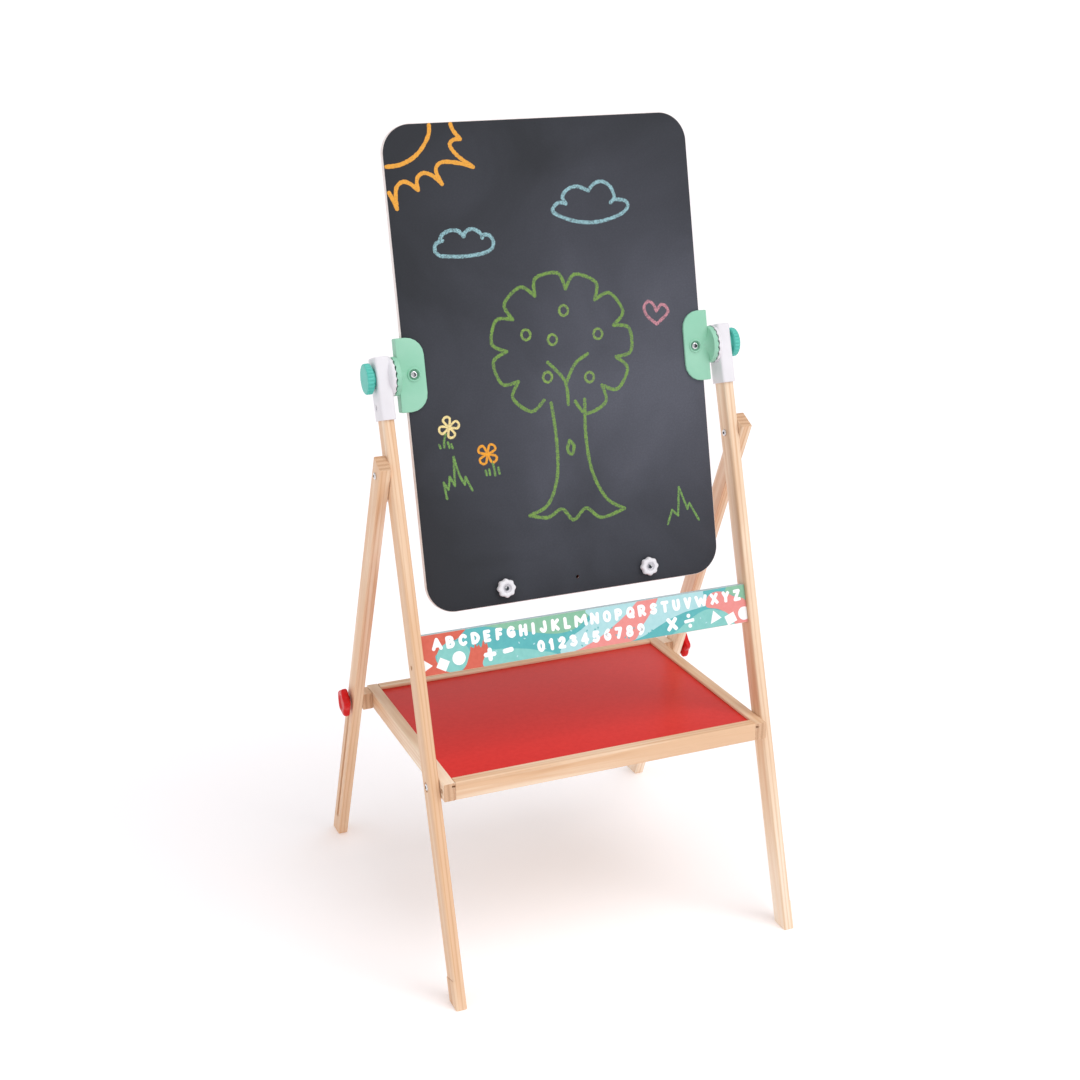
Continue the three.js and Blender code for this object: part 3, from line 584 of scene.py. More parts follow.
def front_posts():
    low, high = extent("front_post_right", POST)
    depth = (low.y, high.y)
    floor = at_floor(POST)
    shaft = bar((low.x, high.x - BOSS), depth, (floor, high.z), POST_RADIUS)
    boss = bar((low.x, high.x), depth, (floor, floor(0) + FOOT_BOSS), POST_RADIUS)
    tray = spot_on("x", "tray_pivot_bolt_right", POST)
    recess = extent("tray_pivot_bolt_right", POST)[1].x - BOLT_HEAD
    whole = combine(shaft, joins=[boss], cuts=[
        through("x", spot_on("x", "leg_pivot_bolt_right", POST), SLEEVE_HOLE, low.x, high.x),
        through("x", tray, BOLT_HOLE, low.x, high.x),
        rod("x", tray, HEAD_RECESS, recess, high.x + PAST),
        screw_hole("strip_screw_right", POST, high.x),
    ])
    # The left post is darkened all over (tone 0.12 against 0.0) as painted shade for the board's shadow on
    # its upper part.
    timber_pair("front_post", whole, "z", POST, "front_frame", 1, (0.12, 0.0))


def rear_legs():
    low, high = extent("rear_leg_right", LEG)
    inner = low.x + BOSS
    depth = (low.y, high.y)
    shaft = bar((inner, high.x), depth, (at_floor(LEG), high.z), LEG_RADIUS)
    boss = bar((low.x, high.x), depth, (-LEG_BOSS, high.z), LEG_RADIUS)
    bolt = centre("slot_bolt_right", LEG)
    travel = JOINTS["slot_bolt_travel_right"]["range_m"][1] / MM
    slot_z = (bolt.z - travel - BOLT_HOLE, bolt.z + BOLT_HOLE)
    slot_x = (inner - PAST, high.x + PAST)
    slot = bar((-SLOT_HALF, SLOT_HALF), slot_z, slot_x, SLOT_HALF - 0.02, CRISP, "x")
    whole = combine(shaft, joins=[boss], cuts=[through("x", (0, 0), BOLT_HOLE, low.x, high.x), slot])
    timber_pair("rear_leg", whole, "z", LEG, "rear_leg_{side}", 4, (0.18, 0.06))


def groove_heights():
    low, high = extent("tray_panel", TRAY)
    return low.z - CLEAR, high.z + CLEAR


def side_rails():
    low, high = extent("tray_rail_right", TRAY)
    rail = bar((low.z, high.z), (low.x, high.x), (low.y, high.y), RAIL_RADIUS, END_EDGE, "y")
    cuts = [box((low.x - PAST, low.x + GROOVE), (low.y - PAST, high.y + PAST), groove_heights())]
    cuts += [screw_hole(f"rail_screw_{end}_right", TRAY, high.x) for end in ("front", "rear")]
    timber_pair("tray_rail", combine(rail, cuts), "y", TRAY, "tray", 7)


def cross_rails():
    for seed, end in enumerate(("front", "rear"), 10):
        node = f"tray_rail_{end}"
        low, high = extent(node, TRAY)
        rail = bar((low.y, high.y), (low.z, high.z), (low.x, high.x), RAIL_RADIUS, 0.3, "x")
        inner = (high.y - GROOVE, high.y + PAST) if end == "front" else (low.y - PAST, low.y + GROOVE)
        whole = combine(rail, [box((low.x - PAST, high.x + PAST), inner, groove_heights())])
        timber(node, whole, "x", TRAY, "tray", seed, 0.18)


def spacers():
    low, high = extent("tray_spacer_right", TRAY)
    block = bar((low.z, high.z), (low.x, high.x), (low.y, high.y), RAIL_RADIUS, END_EDGE, "y")
    bolt = spot_on("x", "slot_insert_right", TRAY)
    hole = rod("x", bolt, INSERT_HOLE, high.x - INSERT_DEPTH, high.x + PAST)
    timber_pair("tray_spacer", combine(block, [hole]), "y", TRAY, "tray", 13)


def tray_panel():
    low, high = extent("tray_panel", TRAY)
    panel = mirrored(bar((low.x, high.x), (low.y, high.y), (low.z, high.z), 0.5, 0.3))
    for polygon in panel.polygons:
        polygon.material_index = int(polygon.normal.z < -0.9)
    instead("tray_panel", panel, TRAY, "tray", [RED_PANEL, PANEL_BACK])


# ---- board

FACE_CORNER = 39.0
CORE_PROUD = 1.0  # how much larger the core's corner is than the faces'
STUD_HOLE = 3.6
SMALL_HOLE = 2.4


def board_holes(low, high):
    studs = [spot_on("y", f"paper_clamp_stud_{side}", BOARD) for side in SIDES]
    screws = [spot_on("y", f"clamp_screw_{side}", BOARD) for side in SIDES]
    holes = [(stud, STUD_HOLE) for stud in studs] + [(screw, SLEEVE_HOLE) for screw in screws]
    holes.append(((studs[0][0], 0), SMALL_HOLE))
    return [through("y", spot, radius, low, high, HOLE_ROUND) for spot, radius in holes]


def board_layer(node, edge, material):
    low, high = extent(node, BOARD)
    corner = FACE_CORNER + (CORE_PROUD if node == "board_core" else 0)
    depth = (low.y, high.y)
    layer = bar((low.z, high.z), (low.x, high.x), depth, corner, edge, "y", BOARD_CORNER_STEPS)
    whole = combine(layer, board_holes(*depth))
    for polygon in whole.polygons:
        x, z = high.x - abs(polygon.center.x), high.z - abs(polygon.center.z)
        drilled = min(x, z) > 1 and max(x, z) > corner + 1
        polygon.material_index = int(drilled and abs(polygon.normal.y) < 0.5)
    instead(node, mirrored(whole), BOARD, "board", [material, CORE])


# ---- plastic fittings

TEETH = 18
TOOTH = 0.75
TOOTHED = {"segments": TEETH * 10, "count": TEETH, "sharp": True}
CLAMP_PLATE = 3.0
CLAMP_DISC = {"radius": 26.0, "depth": 7.0}
BOARD_SLOT_HALF = 5.3
COVE_DEPTH = 10.0
COVE_STEPS = 12
BRACKET_DISC = 26.5
BRACKET_WALL = 2.5
KNOB_SEAT = 14.2


def toothed_face(face, radius, inward):
    """Rows of a toothed disc face from its rim to its hub; inward is the way into the disc."""
    return rows_from(face, inward, [
        (1.2, radius), (TOOTH, radius, TOOTH), (TOOTH, radius * 0.6, TOOTH * 0.6),
        (1.6, radius * 0.42), (1.8, 4.4),
    ])


def board_clamps():
    """U-shaped clamps: two plates round the board, screw bosses on them and a coved hub."""
    low, high = extent("board_clamp_right", BOARD)
    radius, disc_start = CLAMP_DISC["radius"], high.x - CLAMP_DISC["depth"]
    half = extent("white_face", BOARD)[1].y + CLEAR + CLAMP_PLATE
    edge = round_edge(1.3, 4)
    levels = [(inset, rise - half) for inset, rise in edge]
    levels += [(inset, half - rise) for inset, rise in reversed(edge)]
    rings = []
    for inset, y in levels:
        outline = rounded((low.x, disc_start), (low.z, high.z), 2.0, inset, 24.0)
        rings.append([(a, y, b) for a, b in outline])
    rows = []
    for step in range(COVE_STEPS + 1):
        turn = math.pi / 2 * step / COVE_STEPS
        reach = half + (radius - 0.7 - half) * (1 - math.cos(turn))
        rows.append((disc_start - COVE_DEPTH * (1 - math.sin(turn)), reach))
    rows += [(disc_start + 0.2, radius - 0.25), (disc_start + 0.8, radius)]
    hub = turned(rows + toothed_face(high.x, radius, -1), **TOOTHED)
    screw = spot_on("y", "clamp_screw_right", BOARD)
    top = half + 2.0
    bosses, holes = [], []
    for way in (-1, 1):
        boss = [(5.4, 9.9), (half, 9.9), (half + 0.5, 9.3), (top - 0.5, 9.1), (top - 0.12, 8.8)]
        boss += [(top, 8.3), (top, 4.4)]
        bosses.append(turned(rows_from(0, way, boss), "y", screw))
        pit = [(5.8, 6.9), (top - 1.0, 7.1), (top + 0.1, 7.7), (top + 1, 7.9)]
        holes.append(turned(rows_from(0, way, pit), "y", screw))
    holes.append(rod("y", screw, SLEEVE_HOLE, -half, half))
    board_x = (0, extent("board_core", BOARD)[1].x + CLEAR)
    slot = box(board_x, (-BOARD_SLOT_HALF, BOARD_SLOT_HALF), (low.z - PAST, high.z + PAST))
    whole = combine(solid(rings), joins=[hub, *bosses], cuts=[slot, *holes])
    both("board_clamp", whole, BOARD, "board", [MINT])


def post_brackets():
    """Sockets on the post tops, each with a toothed disc, a pin slot and a seat for its knob."""
    low, high = extent("post_bracket_right", POST)
    post_low, post_high = extent("front_post_right", POST)
    inner, outer = post_low.x - BRACKET_WALL, post_high.x - BOSS + BRACKET_WALL
    depth = post_high.y + BRACKET_WALL
    socket_x = (post_low.x - CLEAR, post_high.x - BOSS + CLEAR)
    socket_y = (post_low.y - CLEAR, post_high.y + CLEAR)

    def socket(inset=0.0):
        return rounded(socket_x, socket_y, 3.3, inset)

    def shell(inset=0.0):
        return rounded((inner, outer), (-depth, depth), 3.5, inset)

    levels = [(socket(), post_high.z + CLEAR), (socket(), low.z + 0.5), (socket(-0.5), low.z)]
    levels += [(shell(0.5), low.z), (shell(), low.z + 0.5)]
    levels += [(shell(inset), high.z - rise) for inset, rise in reversed(round_edge(2.2, 5))]
    head = solid([[(*point, z) for point in outline] for outline, z in levels])
    flare = rows_from(inner, 1, [(4.5, 15.0), (2.6, 22.6), (1.2, 25.0), (0.2, 26.1), (-0.6, BRACKET_DISC)])
    disc = turned(flare + toothed_face(low.x, BRACKET_DISC, 1), **TOOTHED)
    y, z = spot_on("x", "bracket_screw_right", POST)
    pin_slot = bar((y - 1.6, y + 1.6), (z - 5.2, z + 5.2), (outer - 1.6, outer + PAST), 1.5, CRISP, "x")
    screw = screw_hole("bracket_screw_right", POST, outer)
    seat = rod("x", (0, 0), KNOB_SEAT, outer - 0.5, outer + PAST)
    whole = combine(head, joins=[disc], cuts=[pin_slot, screw, seat])
    both("post_bracket", whole, POST, "front_frame", [WHITE_PLASTIC])


def tilt_knobs():
    low, high = extent("tilt_knob_right", BOARD)
    radius, rib, ribs = 20.5, 1.5, 24
    rows = rows_from(low.x, 1, [
        (0, 4.4), (0, 13.0), (3.2, 13.4), (3.5, 17.6), (3.6, 19.0, 0, rib * 0.5), (4.4, radius, 0, rib),
    ])
    rows += rows_from(high.x, -1, [
        (1.8, radius, 0, rib), (0.7, radius - 0.4, 0, rib * 0.7), (0.15, radius - 1.2, 0, rib * 0.3),
        (0, radius - 2.0), (0.05, 12.0), (0.1, 4.0),
    ])
    knob = turned(rows, segments=ribs * 8, count=ribs, sharp=True)
    both("tilt_knob", knob, BOARD, "tilt_knob_{side}", [TEAL])


def slot_knobs():
    low, high = extent("slot_knob_right", LEG)
    radius, lobe, lobes = 22.0, 5.0, 5
    rows = rows_from(low.x, 1, [
        (0, 3.4), (0, 9.0), (1.8, 9.6), (2.1, 15.0), (2.4, radius - 3.4, 0, lobe * 0.8),
        (3.2, radius - 1.2, 0, lobe), (4.6, radius, 0, lobe),
    ])
    rows += rows_from(high.x, -1, [
        (4.2, radius, 0, lobe), (2.3, radius - 0.8, 0, lobe * 0.95), (0.9, radius - 2.4, 0, lobe * 0.8),
        (0.2, radius - 5.2, 0, lobe * 0.4), (0, radius - 7.6), (0.3, 12.2), (1.6, 10.4), (2.1, 8.6),
        (2.0, 5.0), (1.8, 2.0),
    ])
    knob = turned(rows, "x", spot_on("x", "slot_bolt_right", LEG), lobes * 28, lobes)
    both("slot_knob", knob, LEG, "slot_knob_{side}", [RED])


def paper_clamp_knobs():
    low, high = extent("paper_clamp_knob_right", BOARD)
    spot = spot_on("y", "paper_clamp_knob_right", BOARD)
    radius, lobe, lobes = 13.2, 1.5, 8
    rows = rows_from(high.y, -1, [
        (0, 8.0), (1.7, 8.2), (2.0, 10.8), (2.4, 12.2, 0, lobe), (3.4, radius, 0, lobe),
    ])
    rows += rows_from(low.y, 1, [
        (2.6, radius, 0, lobe), (1.2, radius - 0.6, 0, lobe), (0.3, radius - 1.8, 0, lobe * 0.8),
        (0, radius - 3.4, 0, lobe * 0.3), (0.1, 7.6), (0.5, 6.6), (3.6, 5.8), (3.7, 4.6),
    ])
    knob = turned(rows, "y", spot, lobes * 18, lobes)
    whole = combine(knob, [through("y", spot, BOLT_HOLE, low.y, high.y)])
    both("paper_clamp_knob", whole, BOARD, "paper_clamp_knob_{side}", [WHITE_PLASTIC])


def paper_clamp_bar():
    low, high = extent("paper_clamp_bar", BOARD)
    depth = (low.y, high.y)
    rail = bar((low.z, high.z), (low.x, high.x), depth, 8.0, 1.5, "y")
    studs = [spot_on("y", f"paper_clamp_stud_{side}", BOARD) for side in SIDES]
    whole = mirrored(combine(rail, [through("y", stud, BOLT_HOLE, *depth) for stud in studs]))
    instead("paper_clamp_bar", whole, BOARD, "paper_clamp", [WHITE_PLASTIC])


# ---- metal fittings

DOME_STEPS = 7
SHANK = 3.0
SLEEVE = 4.2
SOCKET_DEPTH = 4.0
HEAD_RADIUS = 4.9  # at most, so that a head stands clear of its recess


def button_rows(tip, height, radius, shank_end, shank_radius, way):
    """Rows of a domed button head on its shank; way is the way its dome points."""
    seat = tip - way * height
    rows = [(shank_end, shank_radius), (seat, shank_radius), (seat, radius - 0.2)]
    rows.append((seat + way * height * 0.3, radius))
    for step in range(1, DOME_STEPS):
        turn = math.pi / 2 * step / DOME_STEPS
        rise = height * (0.3 + 0.7 * math.sin(turn))
        rows.append((seat + way * rise, radius * (0.45 + 0.55 * math.cos(turn))))
    rows.append((seat + way * height, radius * 0.42))
    return rows


def socket_cut(mesh, axis, middle, tip, way, radius):
    """The mesh with a hexagon socket sunk in its tip; the socket's faces take the second material, which
    paints the shade in the recess.
    """
    low, high = sorted((tip - way * SOCKET_DEPTH, tip + way))
    whole = combine(mesh, [rod(axis, middle, radius, low, high, 6)])
    across = middle if axis == "x" else (middle[1], middle[0])
    # the faces inside the socket get the painted shade
    for polygon in whole.polygons:
        place = list(polygon.center)
        along = place.pop("xyz".index(axis))
        near = math.dist(place, across) < radius
        polygon.material_index = max(polygon.material_index, int(near and low - 0.01 < along < high))
    return whole


def button(name, place, body, axis, head_low, shank, socket=2.4, height=2.0, far_socket=0.0):
    """A domed socket head in place of a pair of CAD fasteners. head_low says that the head is the low
    end, and far_socket gives the other end a socket too."""
    low, high = extent(f"{name}_right", place)
    i = "xyz".index(axis)
    middle = spot_on(axis, f"{name}_right", place)
    radius = min(HEAD_RADIUS, max(high[j] - low[j] for j in range(3) if j != i) / 2)
    way = -1 if head_low else 1
    tip, end = (low[i], high[i]) if head_low else (high[i], low[i])
    mesh = turned(button_rows(tip, height, radius, end, shank, way), axis, middle)
    mesh = socket_cut(mesh, axis, middle, tip, way, socket)
    if far_socket:
        mesh = socket_cut(mesh, axis, middle, end, -way, far_socket)
    both(name, mesh, place, body, [STEEL, SOCKET_SHADE])


def wood_screw(name, place, body):
    """A countersunk screw with a cross recess."""
    low, high = extent(f"{name}_right", place)
    y, z = spot_on("x", f"{name}_right", place)
    rows = rows_from(low.x, 1, [(0, 0.4), (3, 1.9)])
    rows += rows_from(high.x, -1, [(2.2, 1.9), (0.5, 3.1), (0.1, 3.15), (0, 2.9)])
    recess = (high.x - 1.1, high.x + PAST)
    arms = [bar((y - a, y + a), (z - b, z + b), recess, 0.1, CRISP, "x") for a, b in ((2.0, 0.4), (0.4, 2.0))]
    whole = combine(turned(rows, "x", (y, z), HOLE_ROUND), arms)
    both(name, whole, place, body, [STEEL])


def washers():
    low, high = extent("slot_washer_right", LEG)
    bolt = spot_on("x", "slot_bolt_right", LEG)
    rows = [(low.x, 7.7), (low.x + 0.3, 8.0), (high.x - 0.3, 8.0), (high.x, 7.7)]
    whole = combine(turned(rows, "x", bolt), [through("x", bolt, BOLT_HOLE, low.x, high.x)])
    both("slot_washer", whole, LEG, "slot_bolt_{side}", [STEEL])


def metal_fittings():
    for pivot in ("leg_pivot", "tray_pivot"):
        button(f"{pivot}_bolt", POST, "front_frame", "x", False, SHANK)
        button(f"{pivot}_nut", POST, "front_frame", "x", True, SLEEVE)
    button("clamp_screw", BOARD, "board", "y", True, SHANK, socket=2.9)
    button("clamp_sleeve", BOARD, "board", "y", False, SLEEVE, socket=2.9)
    button("paper_clamp_stud", BOARD, "paper_clamp", "y", False, SHANK, height=3.0, far_socket=1.7)
    wood_screw("bracket_screw", POST, "front_frame")
    wood_screw("strip_screw", POST, "front_frame")
    wood_screw("rail_screw_front", TRAY, "tray")
    wood_screw("rail_screw_rear", TRAY, "tray")
    washers()


# ---- strokes and flat prints

# Sections of a stroke: (share of its half width, share of its height)
PAINT_SECTION = [(-1, 0), (-0.96, 1), (0, 1), (0.96, 1), (1, 0)]
CHALK_SECTION = [(-1, 0), (-0.6, 0.8), (0, 1), (0.6, 0.8), (1, 0)]


def pen(text, unit=1.0):
    """The strokes of a drawing written as x,z points. A slash lifts the pen, and a plus turns a sharp
    corner: a new stroke begins at the last point."""
    lines = []
    for part in text.split("/"):
        line = []
        for word in part.split():
            if word == "+":
                lines.append(line)
                line = [line[-1]]
            else:
                line.append(tuple(float(value) / unit for value in word.split(",")))
        lines.append(line)
    return lines


def smooth_path(points, closed, step):
    """Points along a curve through the given ones."""
    count = len(points)
    path = []
    for i in range(count if closed else count - 1):
        around = [(i + k) % count if closed else min(max(i + k, 0), count - 1) for k in (-1, 0, 1, 2)]
        p, q, r, s = [Vector(points[j]) for j in around]
        pieces = max(2, int((r - q).length / step))
        for j in range(pieces):
            t = j / pieces
            bend = (2 * p - 5 * q + 4 * r - s) * t * t
            path.append(0.5 * ((2 * q) + (r - p) * t + bend + (3 * q - p - 3 * r + s) * t ** 3))
    path.append(Vector(points[0] if closed else points[-1]))
    return path


def stroke(points, half_width, section, height, base, closed=False, step=1.2, wobble=None):
    """A stroke with round ends on a front face at y = base: points are (x, z)."""
    path = smooth_path(points, closed, step)
    ways = []
    for i in range(len(path)):
        before, after = path[max(i - 1, 0)], path[min(i + 1, len(path) - 1)]
        if closed and i in (0, len(path) - 1):
            before, after = path[-2], path[1]
        ways.append((after - before).normalized())
    rows = [(point, way, 1.0) for point, way in zip(path, ways)]
    if not closed:
        ends = [math.pi / 2 * k / 4 for k in (1, 2, 3)] + [1.5]
        reach = [(half_width * math.sin(a), math.cos(a)) for a in ends]
        head = [(path[0] - ways[0] * far, ways[0], width) for far, width in reversed(reach)]
        rows = head + rows + [(path[-1] + ways[-1] * far, ways[-1], width) for far, width in reach]
    rings = []
    for point, way, width in rows:
        side = Vector((-way.y, way.x)) * half_width * width
        if wobble:
            side *= 1 + wobble.uniform(-0.13, 0.13)
        ring = []
        for u, lift in section:
            depth = height * lift * max(width, 0.3)
            ring.append((point.x + side.x * u, base - depth, point.y + side.y * u))
        rings.append(ring)
    mesh = solid(rings)
    edge = mesh.attributes.new("edge", "FLOAT", "POINT")
    for i, value in enumerate(edge.data):
        value.value = abs(section[i % len(section)][0])
    return mesh


def clipped(points, low, high):
    """A polygon cut to a rectangle."""
    for axis, limit, sign in ((0, low[0], 1), (0, high[0], -1), (1, low[1], 1), (1, high[1], -1)):
        kept = []
        for a, b in zip(points, points[1:] + points[:1]):
            da, db = sign * (a[axis] - limit), sign * (b[axis] - limit)
            if da >= 0:
                kept.append(a)
            if (da > 0 > db) or (da < 0 < db):
                t = da / (da - db)
                kept.append((a[0] + (b[0] - a[0]) * t, a[1] + (b[1] - a[1]) * t))
        points = kept
    return points


def flat(points, base, height):
    """A flat print: a thin prism on the front face at y = base."""
    return solid([[(x, base, z) for x, z in points], [(x, base - height, z) for x, z in points]])


def spun(x, z, turn, points):
    """Points turned about their middle and moved to (x, z)."""
    c, s = math.cos(turn), math.sin(turn)
    return [(x + u * c - v * s, z + u * s + v * c) for u, v in points]


def ellipse(x, z, rx, rz, count=32, turn=0.0):
    turns = [2 * math.pi * i / count for i in range(count)]
    return spun(x, z, turn, [(rx * math.cos(a), rz * math.sin(a)) for a in turns])


# ---- chalk drawings

SUN = """
    -152.6,321.6 -154.5,309 -165.1,292.6 -178.8,280.5 -197.3,272.6 -216,270.9 / -123,321.6 -120,313
    -111.5,301.7 + -121,301 -126.5,294 -117,280 -97,264.6 + -118,271 -138.1,273.2 -147.5,268 -148.5,259
    -142.4,244.9 + -154,256 -166,260.5 -174.5,256 -177,248 -176.2,239.1 + -187,248 -196.5,250.5 -205,244
    -207.5,231 -207.4,216.4 + -211.5,228 -216,237.5
"""
CLOUDS = """
    -154.5,151.5 -161,158 -159.5,167.5 -149.5,171.5 / -152.5,173.5 -148,180 -137,184 -126.5,182.6 -119.5,175
    + -115.5,181.5 -107,184 -98.6,180.5 -93.5,174.5 / -93.5,171.5 -92.5,175 -84,174.5 -78.6,166.9
    -81.1,156.8 -95.9,150.8 -124.3,149 -154.5,151.5 / 30.2,209.5 20,210.8 11.7,203.6 14.5,196.5 38.2,186
    64.5,181.6 88.5,183.5 113.2,191 123,200.2 119,208 104.6,210.5 / 31.2,209 27,218.4 34.7,227.5 49.2,231.1
    66,224.5 + 74.1,232.6 86.1,235.8 98.6,228.4 103.6,213.5 97.5,206.5
"""
HEART = """
    153.5,53.6 149.2,64 141.8,67.7 135.6,61.3 138.2,49 152.5,35.7 / 153.5,53.6 161.4,61.9 169,58.5
    170.4,49.5 152.5,35.7
"""
TRUNK = """
    -16,-58 -13,-110 -17,-160 -34,-196 -62,-208 / 34,-58 31,-108 36,-158 54,-198 80,-216 / -62,-208 -36,-214
    -14,-205 2,-222 22,-208 44,-224 80,-216 / 9,-62 7,-30 -16,-2 / 8,-34 24,-8 44,4 / 6,-112 12,-120 8,-131
    2,-124 6,-112
"""
FRUIT = ((-44, 38), (14, 66), (62, 30), (-18, -22), (44, -28), (-6, 28))
GRASS = """
    -171.5,-84 -174.5,-92 -175,-101 / -182,-97 -180.5,-101 / -169.5,-95 -168,-102 / -165,-98 -163.5,-103 /
    -109.5,-128 -107.5,-137 -106.8,-147 / -120,-139 -119,-145 / -114.8,-138 -114,-145 / -101.5,-137
    -100.5,-145 / -178.3,-170 -181,-148 + -175,-158 + -171.5,-141 + -165.5,-154 + -163.5,-115 + -158,-139
    -151.5,-154 + -149.5,-144 + -141.5,-163 / 145.1,-246.9 153.2,-227.8 + 162.1,-236.7 + 166.6,-196.6 +
    177.5,-229.1 + 181.1,-221.2 + 194.3,-247
"""
LOBES = 11  # leaf lobes round the tree's crown, less the one that the trunk takes


def chalk(name, strokes, colour, half_width, closed=False, seed=1, body=0.25):
    """Chalk strokes of one colour on the board's front; body is the least share of chalk in them."""
    base = extent("chalk_face", BOARD)[0].y - 0.01
    rough = random.Random(seed)
    meshes = [stroke(line, half_width, CHALK_SECTION, 0.14, base, closed, 1.5, rough) for line in strokes]
    finish = chalk_finish(name, screen(*colour), body)
    show(name, mirrored(merged(meshes)), BOARD, "board", [finish])


def crown():
    """The lobes of a leafy crown round (8, 18)."""
    lines = []
    for i in range(LOBES):
        a = 2 * math.pi * (i + 0.25) / LOBES - math.pi / 2
        b = 2 * math.pi * (i + 1.25) / LOBES - math.pi / 2
        m = (a + b) / 2
        ends = [(8 + 82 * math.cos(t), 18 + 78 * math.sin(t)) for t in (a, b)]
        bulge = [(8 + 103 * math.cos(t), 18 + 99 * math.sin(t)) for t in (m - 0.16, m + 0.16)]
        if abs(m + math.pi / 2) > 0.3 and abs(m - 1.5 * math.pi) > 0.3:
            lines.append([ends[0], *bulge, ends[1]])
    return lines


def flower(x, z, size, tilt):
    """Four petals, each a loop from the flower's middle."""
    middle = Vector((x, z))
    petals = []
    for i in range(4):
        a = tilt + math.pi / 2 * i
        tip = Vector((math.cos(a), math.sin(a))) * size
        side = Vector((-math.sin(a), math.cos(a))) * size * 0.34
        loop = [middle, middle + tip * 0.75 + side, middle + tip, middle + tip * 0.75 - side, middle]
        petals.append([tuple(point) for point in loop])
    return petals


def drawings():
    chalk("chalk_sun", pen(SUN), (244, 172, 66), 2.7, seed=2, body=0.72)
    chalk("chalk_clouds", pen(CLOUDS), (152, 196, 204), 2.6, seed=3)
    chalk("chalk_heart", pen(HEART), (206, 140, 152), 2.3, seed=4)
    chalk("chalk_tree", crown() + pen(TRUNK), (122, 160, 74), 2.5, seed=5)
    fruit = [ellipse(x, z, 6.5, 7.0, 8) for x, z in FRUIT]
    chalk("chalk_fruit", fruit, (134, 168, 80), 1.9, True, seed=6)
    yellow, orange = flower(-165.8, -75.0, 14.5, 0.25), flower(-115.0, -117.0, 15.0, 0.85)
    chalk("chalk_yellow_flower", yellow, (250, 228, 160), 1.7, seed=7, body=0.6)
    chalk("chalk_orange_flower", orange, (248, 168, 46), 1.7, seed=8, body=0.6)
    chalk("chalk_grass", pen(GRASS), (122, 166, 84), 1.7, seed=9)


# ---- printed strip

GLYPHS = {  # each sign's strokes, in hundredths of a letter's width and height
    "A": "0,0 50,100 + 100,0 / 22,33 78,33",
    "B": "0,0 0,100 + 60,100 85,77 60,54 0,54 + 65,54 95,27 65,0 0,0",
    "C": "92,84 55,100 12,78 0,50 12,22 55,0 92,16",
    "D": "0,0 0,100 + 50,96 92,66 92,34 50,4 0,0",
    "E": "0,0 0,100 + 82,100 / 0,50 70,50 / 0,0 82,0",
    "F": "10,0 10,100 + 88,100 / 10,50 76,50",
    "G": "92,86 55,100 12,78 0,50 12,22 55,0 94,14 + 94,42 + 60,42",
    "H": "0,0 0,100 / 92,0 92,100 / 0,50 92,50",
    "I": "46,0 46,100",
    "J": "80,100 80,32 60,3 30,3 6,26",
    "K": "0,0 0,100 / 88,100 6,46 / 20,52 92,0",
    "L": "10,100 10,0 + 85,0",
    "M": "-5,0 2,100 + 50,40 + 98,100 + 105,0",
    "N": "0,0 0,100 + 92,0 + 92,100",
    "P": "5,0 5,100 + 62,100 90,74 62,46 5,46",
    "R": "0,0 0,100 + 60,100 88,74 60,46 0,46 / 40,44 92,0",
    "S": "88,86 50,100 10,80 30,56 65,45 88,22 50,0 6,14",
    "T": "-2,100 94,100 / 46,100 46,0",
    "U": "0,100 0,36 18,6 45,0 72,6 90,36 90,100",
    "V": "0,100 46,0 + 92,100",
    "W": "-4,100 22,0 + 50,70 + 78,0 + 104,100",
    "X": "2,100 92,0 / 2,0 92,100",
    "Y": "0,100 46,48 / 92,100 46,48 + 46,0",
    "Z": "4,100 90,100 + 2,0 + 92,0",
    "1": "14,78 52,100 + 52,0",
    "2": "8,76 34,100 74,94 82,68 50,34 6,0 + 90,0",
    "3": "10,90 45,100 80,80 42,54 + 90,30 50,0 6,12",
    "4": "68,0 68,100 + 4,34 + 96,34",
    "5": "82,100 16,100 + 10,58 + 50,64 88,34 50,0 6,10",
    "6": "74,100 30,78 8,36 30,2 70,3 88,30 60,54 20,44",
    "7": "6,100 90,100 + 38,0",
    "9": "26,0 70,22 92,64 70,98 30,97 12,70 40,46 80,56",
}
RINGS = {  # signs with closed loops: each loop's middle and radii
    "O": [(0.5, 0.5, 0.5, 0.5)], "Q": [(0.5, 0.5, 0.5, 0.5)], "0": [(0.46, 0.5, 0.42, 0.5)],
    "8": [(0.46, 0.76, 0.34, 0.25), (0.46, 0.25, 0.42, 0.26)],
}
LETTER = {"width": 8.0, "height": 12.0, "half_stroke": 2.5}
WIDTHS = {
    "A": 1.3, "E": 0.85, "F": 0.85, "I": 0.2, "L": 0.85, "M": 1.7, "N": 1.15, "W": 1.7, "X": 1.15, "1": 0.6,
}
ROWS = (("ABCDEFGHIJKLMNOPQRSTUVWXYZ", -222.6, 229.9, 13.4), ("0123456789", -75.2, 75.1, -12.2))
INKS = {  # each ink's two screen colours
    "teal": ((84, 174, 178), (92, 182, 184)),
    "coral": ((208, 92, 72), (216, 102, 82)),
    "mint": ((128, 184, 154), (138, 192, 162)),
    "aqua": ((126, 196, 190), (136, 203, 197)),
    "sky": ((168, 214, 218), (178, 220, 224)),
    "pink": ((230, 138, 134), (235, 147, 142)),
    "white": ((250, 250, 252), (255, 255, 255)),
}
